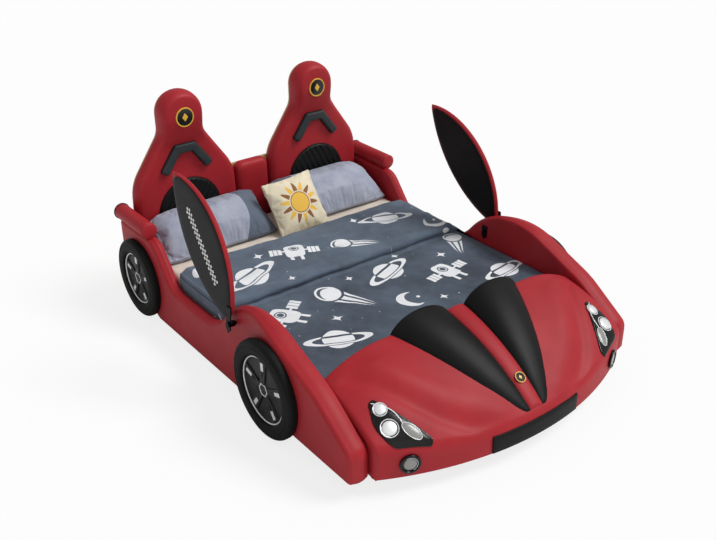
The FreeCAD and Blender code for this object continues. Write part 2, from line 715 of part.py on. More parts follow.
def hump_section(y, x_low, x_high, height):
    """Cross-section of a padded hump: an arch over a chord that is sunk below the skin."""
    z_low = skin_height(x_low, y)
    z_high = skin_height(x_high, y)
    crest = V((x_low + x_high) / 2, y, skin_height((x_low + x_high) / 2, y) + height)
    low = V(x_low, y, z_low)
    high = V(x_high, y, z_high)
    return Part.Wire(
        [
            Part.Arc(low, crest, high).toShape(),
            Part.LineSegment(high, high - V(0, 0, HUMP_SINK)).toShape(),
            Part.LineSegment(high - V(0, 0, HUMP_SINK), low - V(0, 0, HUMP_SINK)).toShape(),
            Part.LineSegment(low - V(0, 0, HUMP_SINK), low).toShape(),
        ]
    )


def bonnet_wedge(base):
    """Long black hump that narrows from the bonnet's rear edge to a point at the nose."""
    tip_y = nose_line(0) + TIP_SETBACK
    rear_y = BONNET_REAR - WEDGE_SETBACK
    sections = []
    for share in (0.0, 0.08, 0.25, 0.5, 0.75, 1.0):
        y = tip_y + (rear_y - tip_y) * share
        inner = WEDGE_TIP_X - WEDGE_TIP_HALF + (WEDGE_REAR_INNER - WEDGE_TIP_X + WEDGE_TIP_HALF) * share
        outer = WEDGE_TIP_X + WEDGE_TIP_HALF
        outer = outer + (WEDGE_REAR_OUTER - outer) * share ** WEDGE_SPREAD
        height = WEDGE_TIP_HEIGHT + (WEDGE_HEIGHT - WEDGE_TIP_HEIGHT) * share
        sections.append(hump_section(y, inner, outer, height))
    return Part.makeLoft(sections, True, False).cut(base).Solids[0]


def bonnet_ridge(base):
    """Low red spine between the two wedges."""
    tip_y = nose_line(0) + TIP_SETBACK
    rear_y = BONNET_REAR - WEDGE_SETBACK
    sections = []
    for share in (0.0, 0.5, 1.0):
        y = tip_y + (rear_y - tip_y) * share
        half = WEDGE_TIP_X - WEDGE_TIP_HALF - RIDGE_GAP
        half = half + (WEDGE_REAR_INNER - RIDGE_GAP - half) * share
        sections.append(hump_section(y, -half, half, RIDGE_HEIGHT))
    return Part.makeLoft(sections, True, False).cut(base).Solids[0]


def lamp_prism():
    """Upright prism over the rounded, nearly three-cornered outline of a headlamp in plan."""
    inner_x = BONNET_HALF - LAMP_INNER[0]
    outer_x = BONNET_HALF - LAMP_OUTER[0]
    corners = [
        (BONNET_HALF - LAMP_REAR[0], LAMP_REAR[1], LAMP_REAR[2]),
        (inner_x, nose_line(inner_x) + LAMP_SETBACK, LAMP_INNER[1]),
        (outer_x, nose_line(outer_x) + LAMP_SETBACK, LAMP_OUTER[1]),
        (BONNET_HALF - LAMP_SIDE[0], LAMP_SIDE[1], LAMP_SIDE[2]),
    ]
    return plan_plate(corners, LAMP_BOTTOM, BONNET_REAR_Z)


def round_prism(spot):
    """An upright round prism over one spot of the plan."""
    inset, y, radius = spot
    foot = V(BONNET_HALF - inset, y, LAMP_BOTTOM)
    return Part.makeCylinder(radius, BONNET_REAR_Z - LAMP_BOTTOM, foot, V(0, 0, 1))


def lamp_layer(spots):
    """Discs of even thickness that lie on a headlamp's pod."""
    pod_top = LAMP_THICK + 2 * SEAT_GAP
    return [on_skin(round_prism(spot), pod_top, pod_top + REFLECTOR_RAISE) for spot in spots]


def fog_lamp():
    """Round lamp low on the nose, square to the face there."""
    x = BONNET_HALF - FOG_INSET
    slope = (nose_line(x + FOG_RADIUS) - nose_line(x - FOG_RADIUS)) / (2 * FOG_RADIUS)
    outward = V(slope, -1.0, 0.0).normalize()
    centre = V(x, nose_line(x), FOG_Z) + outward * FOG_STANDOFF
    lamp = Part.makeCylinder(FOG_RADIUS, FOG_THICK, centre, outward)
    front = max(lamp.Faces, key=lambda face: face.CenterOfMass.dot(outward))
    return lamp.makeFillet(FOG_EDGE, front.Edges)


def bumper_band():
    """Black band round the middle of the nose."""
    prism = block(
        (-BAND_HALF, NOSE_Y - 1, BONNET_BOTTOM),
        (BAND_HALF, nose_line(BAND_HALF) + 1, NOSE_TOP_MID - NOSE_ROUND / 2),
    )
    return on_skin(prism, SEAT_GAP, BAND_THICK)


def bonnet_badge(ridge):
    """Small round badge seated on the spine."""
    y = BONNET_BADGE_Y
    z = skin_height(0, y) + RIDGE_HEIGHT
    ahead = skin_height(0, y - BONNET_BADGE_RADIUS)
    behind = skin_height(0, y + BONNET_BADGE_RADIUS)
    rise = (behind - ahead) / (2 * BONNET_BADGE_RADIUS)
    up = V(0, -rise, 1).normalize()
    length = BONNET_BADGE_THICK + BONNET_BADGE_SINK
    badge = Part.makeCylinder(BONNET_BADGE_RADIUS, length, V(0, y, z) - up * BONNET_BADGE_SINK, up)
    return badge.cut(ridge).cut(skin_fill()).Solids[-1]


def skin_fill():
    """The bonnet block with its clearance, used to trim what lies on it."""
    return bonnet_block(SEAT_GAP, BONNET_HALF, BONNET_REAR, BONNET_BOTTOM)


# ---------------------------------------------------------------- doors
def door_axes():
    """Unit directions of the right-hand leaf: along its base line, up, and outwards."""
    splay = math.radians(DOOR_SPLAY)
    lean = math.radians(DOOR_LEAN)
    along = V(math.sin(splay), math.cos(splay), 0)
    outward = V(math.cos(splay) * math.cos(lean), -math.sin(splay) * math.cos(lean), math.sin(lean))
    up = outward.cross(along)
    return along, up, outward


def door_point(along_mm, up_mm, out_mm):
    """A point given from the pivot, in the leaf's own directions."""
    along, up, outward = door_axes()
    origin = V(PANEL_OUTER + DOOR_PANEL_GAP, DOOR_PIVOT_Y, DOOR_PIVOT_Z)
    return origin + along * along_mm + up * up_mm + outward * out_mm


def leaf_outline(inset, out_mm):
    """Lens of two arcs from near the pivot to the tip, cut square at the pivot end."""
    ca = math.cos(DOOR_SLOPE)
    sa = math.sin(DOOR_SLOPE)

    def at(length, across):
        return door_point(length * ca - across * sa, length * sa + across * ca, out_mm)

    def arc_height(sag, length):
        radius = (DOOR_LENGTH ** 2 / 4 + sag ** 2) / (2 * sag)
        middle = length - DOOR_LENGTH / 2
        return math.sqrt(radius ** 2 - middle ** 2) - (radius - sag)

    start = DOOR_START + inset
    stop = DOOR_LENGTH - inset
    half = (start + stop) / 2
    front = [at(p, arc_height(DOOR_FRONT_SAG, p) - inset) for p in (start, half)]
    rear = [at(p, -arc_height(DOOR_REAR_SAG, p) + inset) for p in (start, half)]
    tip = at(stop - 2 * inset, 0)
    return Part.Wire(
        [
            Part.Arc(front[0], front[1], tip).toShape(),
            Part.Arc(tip, rear[1], rear[0]).toShape(),
            Part.LineSegment(rear[0], front[0]).toShape(),
        ]
    )


def leaf_plate(inset, out_from, thick):
    """A lens-shaped plate, parallel to the leaf."""
    outward = door_axes()[2]
    return Part.Face(leaf_outline(inset, out_from)).extrude(outward * thick)


def door_core():
    """Red upholstered core that shows as the leaf's edge."""
    return leaf_plate(0.0, DOOR_PAD_THICK + SEAT_GAP, DOOR_THICK - 2 * DOOR_PAD_THICK - 2 * SEAT_GAP)


def door_pads():
    """Black panels on both faces of the leaf."""
    inner = leaf_plate(DOOR_PAD_INSET, 0.0, DOOR_PAD_THICK)
    outer = leaf_plate(DOOR_PAD_INSET, DOOR_THICK - DOOR_PAD_THICK, DOOR_PAD_THICK)
    return [inner, outer]


def door_hinge_strap():
    """Steel strap on the leaf's outer face, pointed at the foot, with a hub that turns on the pivot pin."""
    outward = door_axes()[2]
    half = STRAP_WIDTH / 2
    out = DOOR_THICK + SEAT_GAP
    corners = [
        (-half, STRAP_UP),
        (half, STRAP_UP),
        (half, -STRAP_DOWN + half),
        (0.0, -STRAP_DOWN),
        (-half, -STRAP_DOWN + half),
    ]
    points = [door_point(a, b, out) for a, b in corners]
    plate = Part.Face(Part.makePolygon(points + [points[0]])).extrude(outward * STRAP_THICK)
    radius = PIN_RADIUS + PIN_CLEARANCE
    hub = Part.makeCylinder(radius + HUB_WALL, out + STRAP_THICK - HUB_GAP, door_point(0, 0, HUB_GAP), outward)
    bore = Part.makeCylinder(radius, out + 2 * STRAP_THICK, door_point(0, 0, -STRAP_THICK), outward)
    return plate.fuse(hub).cut(bore).removeSplitter().Solids[0]


def door_pin_span():
    """Where the pin starts inside the bed and where it ends under its head, along the pivot axis."""
    start = -(PANEL_THICK + DOOR_PANEL_GAP) / math.cos(math.radians(DOOR_LEAN)) - PIN_NUT_LENGTH
    stop = DOOR_THICK + SEAT_GAP + STRAP_THICK + PIN_HEAD_GAP
    return start, stop


def door_pin_bore():
    """Hole for the pivot pin through the padded panel."""
    start, stop = door_pin_span()
    outward = door_axes()[2]
    margin = PIN_NUT_LENGTH
    foot = door_point(0, 0, start - margin)
    return Part.makeCylinder(PIN_RADIUS + SEAT_GAP, stop - start + 2 * margin, foot, outward)


def door_pivot_pin():
    """Shouldered pivot bolt with its head outside."""
    start, stop = door_pin_span()
    outward = door_axes()[2]
    shank = Part.makeCylinder(PIN_RADIUS, stop - start, door_point(0, 0, start), outward)
    head = Part.makeCylinder(PIN_HEAD_RADIUS, PIN_HEAD_THICK, door_point(0, 0, stop), outward)
    return shank.fuse(head).removeSplitter().Solids[0]


def door_backplate():
    """Steel plate with a pointed foot on the panel's inner face, where the pin is nutted."""
    half = STRAP_WIDTH / 2
    x = INNER_HALF_WIDTH - SEAT_GAP
    start = door_pin_span()[0]
    centre = door_point(0, 0, start + PIN_NUT_LENGTH)
    corners = [
        (centre.y - half, centre.z + BACKPLATE_UP, BACKPLATE_ROUND),
        (centre.y + half, centre.z + BACKPLATE_UP, BACKPLATE_ROUND),
        (centre.y + half, centre.z - STRAP_DOWN + half, 0),
        (centre.y, centre.z - STRAP_DOWN, 0),
        (centre.y - half, centre.z - STRAP_DOWN + half, 0),
    ]
    plate = side_plate(corners, x - STRAP_THICK, x)
    bore = Part.makeCylinder(PIN_RADIUS + SEAT_GAP, PANEL_THICK, door_point(0, 0, start), door_axes()[2])
    return plate.cut(bore)


# ---------------------------------------------------------------- frame inside
def front_board():
    """Plywood cross board behind the nose that carries the foot end of the slats."""
    top = LEDGE_TOP + LEDGE_HEIGHT
    return block(
        (-INNER_HALF_WIDTH + SEAT_GAP, FRONT_BOARD_Y, BONNET_BOTTOM),
        (INNER_HALF_WIDTH - SEAT_GAP, FRONT_BOARD_Y + BOARD_THICK, top),
    )


def side_ledge():
    """Batten screwed to the inner face of a side panel, under the slats."""
    x = INNER_HALF_WIDTH - SEAT_GAP
    return block(
        (x - LEDGE_WIDTH, FRONT_BOARD_Y + BOARD_THICK + SEAT_GAP, LEDGE_TOP - SEAT_GAP - LEDGE_HEIGHT),
        (x, BOARD_FRONT - SEAT_GAP, LEDGE_TOP - SEAT_GAP),
    )


def centre_beam():
    """Lengthwise beam under the middle of the slats."""
    return block(
        (-BEAM_WIDTH / 2, FRONT_BOARD_Y + BOARD_THICK + SEAT_GAP, LEDGE_TOP - SEAT_GAP - LEDGE_HEIGHT),
        (BEAM_WIDTH / 2, BOARD_FRONT - SEAT_GAP, LEDGE_TOP - SEAT_GAP),
    )


def slats():
    """Slats from ledge to ledge, evenly spread below the mattress."""
    half = INNER_HALF_WIDTH - 2 * SEAT_GAP
    span = MATTRESS_HEAD - MATTRESS_FOOT - SLAT_WIDTH
    count = int(span / SLAT_PITCH) + 1
    pitch = span / (count - 1)
    made = []
    for i in range(count):
        y = MATTRESS_FOOT + pitch * i
        made.append(block((-half, y, LEDGE_TOP), (half, y + SLAT_WIDTH, SLAT_TOP)))
    return made


def legs():
    """Square legs under the two ledges and the beam."""
    top = LEDGE_TOP - SEAT_GAP - LEDGE_HEIGHT - SEAT_GAP
    rows = (LEG_SETBACK, (LEG_SETBACK + BOARD_FRONT) / 2, BOARD_FRONT - LEG_SETBACK)
    edge = INNER_HALF_WIDTH - SEAT_GAP - LEG_SIZE / 2
    made = []
    for x in (-edge, 0.0, edge):
        for y in rows:
            made.append(
                block(
                    (x - LEG_SIZE / 2, y - LEG_SIZE / 2, -GROUND_GAP),
                    (x + LEG_SIZE / 2, y + LEG_SIZE / 2, top),
                )
            )
    return made


def bracket_z():
    """Bottom of the corner brackets."""
    return SLAT_TOP + BRACKET_LIFT


def corner_brackets():
    """Steel angles that join the panels to the headboard, inside the bed."""
    x_wall = INNER_HALF_WIDTH - SEAT_GAP
    y_wall = SEAT_FRONT - SEAT_GAP
    low = bracket_z()
    made = []
    for side in (-1, 1):
        x = side * x_wall
        leg_side = block(
            (min(x, x - side * BRACKET_THICK), y_wall - BRACKET_SIZE, low),
            (max(x, x - side * BRACKET_THICK), y_wall, low + BRACKET_HEIGHT),
        )
        leg_board = block(
            (min(x, x - side * BRACKET_SIZE), y_wall - BRACKET_THICK, low),
            (max(x, x - side * BRACKET_SIZE), y_wall, low + BRACKET_HEIGHT),
        )
        made.append(leg_side.fuse(leg_board).removeSplitter().Solids[0])
    return made


def bracket_bolts():
    """Bolt heads on the angles, two to each side panel."""
    x_face = INNER_HALF_WIDTH - 2 * SEAT_GAP - BRACKET_THICK
    y = SEAT_FRONT - SEAT_GAP - BOLT_SETBACK
    made = []
    for side in (-1, 1):
        for i in range(2):
            z = bracket_z() + (BRACKET_HEIGHT - BOLT_SPREAD) / 2 + BOLT_SPREAD * i
            foot = V(side * x_face, y, z)
            made.append(Part.makeCylinder(BOLT_HEAD_RADIUS, BOLT_HEAD_THICK, foot, V(-side, 0, 0)))
    return made


# ---------------------------------------------------------------- bedding
def mattress():
    """Foam mattress with rounded corners."""
    half = MATTRESS_HALF
    body = block((-half, MATTRESS_FOOT, MATTRESS_BOTTOM), (half, MATTRESS_HEAD, MATTRESS_TOP))
    uprights = [e for e in body.Edges if abs(e.Vertexes[0].Point.z - e.Vertexes[1].Point.z) > 1]
    body = body.makeFillet(MATTRESS_ROUND, uprights)
    rims = edges_on_plane(body, "z", MATTRESS_TOP) + edges_on_plane(body, "z", MATTRESS_BOTTOM)
    return body.makeFillet(LEATHER_ROUND, rims)


def duvet():
    """Quilt laid over the mattress, its head end folded back on itself."""
    low = MATTRESS_TOP + SEAT_GAP
    fold = DUVET_THICK + DUVET_FLAP_THICK
    outline = [
        (DUVET_FOOT, low, DUVET_FOOT_ROUND),
        (DUVET_FOLD, low, DUVET_FOLD_ROUND),
        (DUVET_FOLD, low + fold, DUVET_FOLD_ROUND),
        (DUVET_FLAP, low + fold, DUVET_FOOT_ROUND),
        (DUVET_FLAP - DUVET_HEM_LEAN, DUVET_TOP, DUVET_HEM_ROUND),
        (DUVET_FOOT, DUVET_TOP, DUVET_FOOT_ROUND),
    ]
    return side_plate(outline, -DUVET_HALF, DUVET_HALF)


def crowned_pad(width, depth, thick):
    """Stuffed pillow about its own middle: crowned, thin at its seams, its long sides drawn in."""
    sections = []
    for share in (-1.0, -0.8, -0.45, 0.0, 0.45, 0.8, 1.0):
        fall = 1.0 - share * share
        half = depth / 2 * (1.0 - SIDE_DRAW * fall)
        crown = SEAM_THICK / 2 + (thick - SEAM_THICK) / 2 * math.sqrt(fall)
        x = share * width / 2
        top = Part.Arc(V(x, -half, 0), V(x, 0, crown), V(x, half, 0))
        under = Part.Arc(V(x, half, 0), V(x, 0, -crown), V(x, -half, 0))
        sections.append(Part.Wire([top.toShape(), under.toShape()]))
    return Part.makeLoft(sections, True, False)


def set_on_mattress(pad):
    """Lower or lift a pad until it lies on the mattress."""
    low = pad.optimalBoundingBox().ZMin
    pad.translate(V(0, 0, MATTRESS_TOP + SEAT_GAP - low))


def pillow():
    """Right-hand bed pillow, set on the mattress and leaning on the seat."""
    pad = crowned_pad(PILLOW_WIDTH, PILLOW_DEPTH, PILLOW_THICK)
    pad.rotate(V(0, 0, 0), V(1, 0, 0), PILLOW_TILT)
    rear = pad.optimalBoundingBox().YMax
    pad.translate(V(PILLOW_X, INSERT_FRONT - PILLOW_LEAN_GAP - rear, 0))
    set_on_mattress(pad)
    return pad


def cushion(support):
    """Small square cushion, set on the mattress and slid back until it leans on a pillow."""
    pad = crowned_pad(CUSHION_WIDTH, CUSHION_HEIGHT, CUSHION_THICK)
    pad.rotate(V(0, 0, 0), V(1, 0, 0), CUSHION_TILT)
    pad.translate(V(CUSHION_X, INSERT_FRONT - CUSHION_SETDOWN, 0))
    set_on_mattress(pad)
    for _ in range(LEAN_STEPS):
        gap = pad.distToShape(support)[0]
        pad.translate(V(0, gap - SEAT_GAP, 0))
    return pad


# ---------------------------------------------------------------- the whole bed
def main():
    os.makedirs("parts", exist_ok=True)

    save_pair("side_panel", side_panel())
    save_pair("fender_pad", fender_pad())
    save_pair("armrest_roll", armrest_roll())
    cap = roll_end_cap()
    save("roll_end_caps", [cap, mirrored(cap)])

    rings = []
    wheel_places = {
        "front": (FENDER_OUTER, FRONT_WHEEL_Y, FRONT_WHEEL_RADIUS),
        "rear": (PANEL_OUTER, REAR_WHEEL_Y, REAR_WHEEL_RADIUS),
    }
    for end, place in wheel_places.items():
        save_pair("tyre_" + end, tyre(*place))
        save_pair("wheel_cover_" + end, wheel_cover(*place))
        ring = trim_ring(*place)
        rings += [ring, mirrored(ring)]
    save("wheel_trim_rings", rings)

    save("headboard_board", headboard())
    save("bridge_pad", bridge_pad())
    save_pair("seat_pad", seat_pad(SEAT_CENTRE))
    save_pair("seat_insert", seat_insert(SEAT_CENTRE))
    save_pair("seat_chevron", seat_chevron(SEAT_CENTRE))
    save_pair("seat_badge", seat_badge(SEAT_CENTRE))

    base = skin_fill()
    save("bonnet_shell", bonnet_shell())
    save_pair("bonnet_wedge", bonnet_wedge(base))
    ridge = bonnet_ridge(base)
    save("bonnet_ridge", ridge)
    save("bonnet_badge", bonnet_badge(ridge))
    save("bumper_band", bumper_band())
    save_pair("headlamp_pod", on_skin(lamp_prism(), SEAT_GAP, LAMP_THICK + SEAT_GAP))
    bowls = lamp_layer([UPPER_REFLECTOR, LOWER_REFLECTOR])
    save_pair("headlamp_reflectors", Part.makeCompound(bowls))
    lens = lamp_layer([LENS_SPOT])[0]
    save("headlamp_lenses", [lens, mirrored(lens)])
    save_pair("fog_lamp", fog_lamp())

    save_pair("door_core", door_core())
    save_pair("door_pads", Part.makeCompound(door_pads()))
    save_pair("door_hinge_strap", door_hinge_strap())
    save_pair("door_pivot_pin", door_pivot_pin())
    plate = door_backplate()
    save("door_backplates", [plate, mirrored(plate)])

    save("front_board", front_board())
    ledge = side_ledge()
    save("side_ledges", [ledge, mirrored(ledge)])
    save("centre_beam", centre_beam())
    save("slats", slats())
    save("legs", legs())
    save("corner_brackets", corner_brackets())
    save("bracket_bolts", bracket_bolts())

    save("mattress", mattress())
    save("duvet", duvet())
    bed_pillow = pillow()
    save_pair("pillow", bed_pillow)
    save("cushion", cushion(bed_pillow))


main()
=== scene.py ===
"""Looks of an upholstered children's bed in the shape of a sports car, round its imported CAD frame.

The classes hold their sizes in millimetres, in the frame the bed was drawn in: Y = 0 at the front
end of the side panels, Z = 0 at their bottom edge, +Y towards the headboard. `to_frame` sets such
points down in the shared frame, in metres. Right-hand (+X) pieces are built, and their left-hand
twins are mirrored from them.
"""

from __future__ import annotations

import json
import logging
import math
from dataclasses import dataclass, field
from enum import Enum
from functools import reduce
from typing import Any, Callable, Sequence

import bmesh
import bpy
import numpy as np
from mathutils import Matrix, Vector, noise
from mathutils.geometry import delaunay_2d_cdt

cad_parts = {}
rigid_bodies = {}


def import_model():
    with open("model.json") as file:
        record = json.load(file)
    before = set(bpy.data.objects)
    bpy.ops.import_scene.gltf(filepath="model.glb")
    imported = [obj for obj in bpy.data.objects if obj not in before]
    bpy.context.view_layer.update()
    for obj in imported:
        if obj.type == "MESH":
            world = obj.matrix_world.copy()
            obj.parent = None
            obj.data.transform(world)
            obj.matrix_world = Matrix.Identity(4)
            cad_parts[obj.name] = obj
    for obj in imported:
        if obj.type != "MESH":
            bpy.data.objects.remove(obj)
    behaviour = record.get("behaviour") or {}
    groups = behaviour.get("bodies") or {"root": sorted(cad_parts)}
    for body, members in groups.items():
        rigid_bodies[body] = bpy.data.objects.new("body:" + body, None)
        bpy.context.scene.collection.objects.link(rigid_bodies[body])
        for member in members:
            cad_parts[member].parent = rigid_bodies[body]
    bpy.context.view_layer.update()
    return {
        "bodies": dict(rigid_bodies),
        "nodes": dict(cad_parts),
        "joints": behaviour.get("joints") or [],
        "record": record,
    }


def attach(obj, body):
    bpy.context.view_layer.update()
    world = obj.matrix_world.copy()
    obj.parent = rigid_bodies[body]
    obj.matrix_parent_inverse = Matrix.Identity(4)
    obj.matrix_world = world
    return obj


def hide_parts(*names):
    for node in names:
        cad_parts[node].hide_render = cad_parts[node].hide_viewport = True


LOG = logging.getLogger("car_bed")

DRAWN_Y0 = -959.5  # the drawing's origin in the shared frame, mm
DRAWN_Z0 = 75.0
INNER = 760.0  # middle plane to the inner face of a side panel
OUTER = 820.0  # and to its outer face
LENGTH = 2155.0  # of a side panel
GAP = 0.3  # between seated pieces
MATTRESS_TOP = 245.0
SEAT_FRONT = 2061.7
HAUNCH_TOP = 412.0  # of a side panel, where the rolls lie
HEXAGON = 6

Tree = bpy.types.NodeTree
Points = np.ndarray
Depth = Callable[[Points, Points, Points], Points]
Corners = Sequence[tuple[float, float, float]]
RadiusHeight = tuple[float, float]


class Side(Enum):
    """Which side of the middle plane a piece is on."""

    RIGHT = "right"
    LEFT = "left"

    @property
    def flip(self) -> float:
        """What X is multiplied by on this side."""
        return 1.0 if self is Side.RIGHT else -1.0


# -------------------------------------------------------------------------------- shapes
@dataclass
class Shape:
    """Points in drawn millimetres and the faces between them."""

    points: Points
    faces: list[tuple[int, ...]]

    def mirrored(self) -> "Shape":
        """The same shape on the other side of the middle plane."""
        return Shape(self.points * np.array([-1.0, 1.0, 1.0]), [face[::-1] for face in self.faces])

    def on(self, side: Side) -> "Shape":
        """A right-hand shape on a side: itself, or its mirror image."""
        return self if side is Side.RIGHT else self.mirrored()

    def local(self) -> "Shape":
        """The shape about the frame's origin, for a piece that is moved to its place later."""
        return Shape(self.points - np.array([0.0, DRAWN_Y0, DRAWN_Z0]), self.faces)

    def plus(self, other: "Shape") -> "Shape":
        """Both shapes as one.

        Args:
            other: the shape that is added.

        Returns:
            A new shape with the points and faces of both.
        """
        shift = len(self.points)
        faces = self.faces + [tuple(i + shift for i in face) for face in other.faces]
        return Shape(np.vstack([self.points, other.points]), faces)


def to_frame(points: Points) -> Points:
    """Drawn millimetres to metres in the shared frame."""
    return (points + np.array([0.0, DRAWN_Y0, DRAWN_Z0])) / 1000.0


def smooth_step(value: Points, start: float, stop: float) -> Points:
    """0 before start, 1 after stop, and an even curve between them."""
    share = np.clip((value - start) / (stop - start), 0.0, 1.0)
    return share * share * (3.0 - 2.0 * share)


def standing(u: Points, v: Points, w: Points) -> Points:
    """An outline's plane stood along the bed, its depth outwards."""
    return np.column_stack([w, u, v])


def lying(u: Points, v: Points, w: Points) -> Points:
    """An outline's plane laid flat, its depth upwards."""
    return np.column_stack([u, v, w])


def facing(y: float) -> Depth:
    """An outline's plane stood across the bed at a place along it, its depth towards the nose."""
    return lambda u, v, w: np.column_stack([u, y - w, v])


def flat_at(depth: float) -> Depth:
    """A face at one depth."""
    return lambda u, v, d: np.full_like(u, depth)


def angles_round(count: int) -> Points:
    """Even angles round a circle."""
    return np.linspace(0, 2 * math.pi, count, endpoint=False)


def rounding(
    foot: RadiusHeight, size: RadiusHeight, span: tuple[float, float, int]
) -> list[RadiusHeight]:
    """Part of a turned profile that runs round an ellipse.

    Args:
        foot: the ellipse's middle, as radius and height.
        size: its two half axes.
        span: its first and last angle, and how many points.

    Returns:
        The profile's points.
    """
    return [
        (foot[0] + size[0] * math.cos(a), foot[1] + size[1] * math.sin(a))
        for a in np.linspace(*span)
    ]


def inward_of(outline: Points) -> Points:
    """The direction into an anticlockwise outline at each of its points."""
    ahead = np.roll(outline, -1, axis=0) - np.roll(outline, 1, axis=0)
    return np.column_stack([-ahead[:, 1], ahead[:, 0]]) / np.linalg.norm(ahead, axis=1)[:, None]


def rounded(corners: Corners, step: float = 14.0) -> Points:
    """A closed outline through corners that are rounded by tangent arcs.

    Args:
        corners: each corner's two coordinates and its radius, in order round the outline.
        step: greatest distance between two points of the outline.

    Returns:
        The outline's points, anticlockwise.
    """
    ends: list[tuple[Points, Points]] = []
    count = len(corners)
    for i, (a, b, radius) in enumerate(corners):
        here = np.array([a, b])
        to_last = np.array(corners[i - 1][:2]) - here
        to_next = np.array(corners[(i + 1) % count][:2]) - here
        to_last, to_next = to_last / np.linalg.norm(to_last), to_next / np.linalg.norm(to_next)
        half = math.acos(float(np.clip(to_last @ to_next, -1, 1))) / 2
        if radius <= 0:
            ends.append((here[None, :], here))
            continue
        bisector = (to_last + to_next) / np.linalg.norm(to_last + to_next)
        centre = here + bisector * radius / math.sin(half)
        start = here + to_last * radius / math.tan(half)
        stop = here + to_next * radius / math.tan(half)
        first = math.atan2(*(start - centre)[::-1])
        turn = (math.atan2(*(stop - centre)[::-1]) - first + math.pi) % (2 * math.pi) - math.pi
        parts = max(3, int(abs(turn) * radius / step) + 1, int(abs(turn) / 0.2) + 1)
        angles = first + turn * np.linspace(0, 1, parts + 1)
        ends.append((centre + radius * np.column_stack([np.cos(angles), np.sin(angles)]), stop))
    points: list[Points] = []
    for i, (arc, stop) in enumerate(ends):
        points.append(arc)
        following = ends[(i + 1) % count][0][0]
        parts = max(1, round(float(np.linalg.norm(following - arc[-1])) / step))
        points.append(arc[-1] + (following - arc[-1]) * np.linspace(0, 1, parts + 1)[1:-1, None])
    return anticlockwise(np.vstack(points))


def anticlockwise(outline: Points) -> Points:
    """The outline without doubled points, turned so that it runs anticlockwise."""
    keep = np.linalg.norm(outline - np.roll(outline, 1, axis=0), axis=1) > 1e-3
    outline = outline[keep]
    following = np.roll(outline, -1, axis=0)
    area = (outline[:, 0] * following[:, 1] - outline[:, 1] * following[:, 0]).sum()
    return outline if area > 0 else outline[::-1]


def distance_to(points: Points, line: Points, closed: bool = True) -> Points:
    """How far points are from a line of straight runs.

    Args:
        points: places in the plane.
        line: the line's points in order.
        closed: whether its last point joins its first.

    Returns:
        One distance for each place.
    """
    start = line if closed else line[:-1]
    run = (np.roll(line, -1, axis=0) if closed else line[1:]) - start
    length = np.maximum((run * run).sum(axis=1), 1e-12)
    found = np.empty(len(points))
    for first in range(0, len(points), 1500):
        offset = points[first : first + 1500, None, :] - start
        share = np.clip((offset * run).sum(axis=2) / length, 0, 1)
        found[first : first + 1500] = np.linalg.norm(
            offset - share[..., None] * run, axis=2
        ).min(axis=1)
    return found


def inside(points: Points, outline: Points) -> Points:
    """Which points of the plane lie inside a closed outline."""
    x, y = points[:, 0, None], points[:, 1, None]
    a, b = outline, np.roll(outline, -1, axis=0)
    crosses = (a[:, 1] > y) != (b[:, 1] > y)
    with np.errstate(divide="ignore", invalid="ignore"):
        at = a[:, 0] + (y - a[:, 1]) * (b[:, 0] - a[:, 0]) / (b[:, 1] - a[:, 1])
    return (crosses & (x < at)).sum(axis=1) % 2 == 1


def edge_drop(depth: Points, radius: float) -> Points:
    """How far a quarter-round edge lies below the full face, at a distance from the outline."""
    if radius <= 0:
        return np.zeros_like(depth)
    short = np.clip(radius - depth, 0.0, radius)
    return radius - np.sqrt(np.maximum(radius * radius - short * short, 0.0))


@dataclass(frozen=True)
class Padding:
    """How an upholstered plate is rounded and how finely it is meshed, in millimetres."""

    front_round: float = 22.0
    back_round: float = 10.0
    step: float = 17.0
    rings: int = 6
    crown: float = 0.0  # how far the wall between the two faces swells out of the outline
    open_back: bool = False  # a cover with no back face


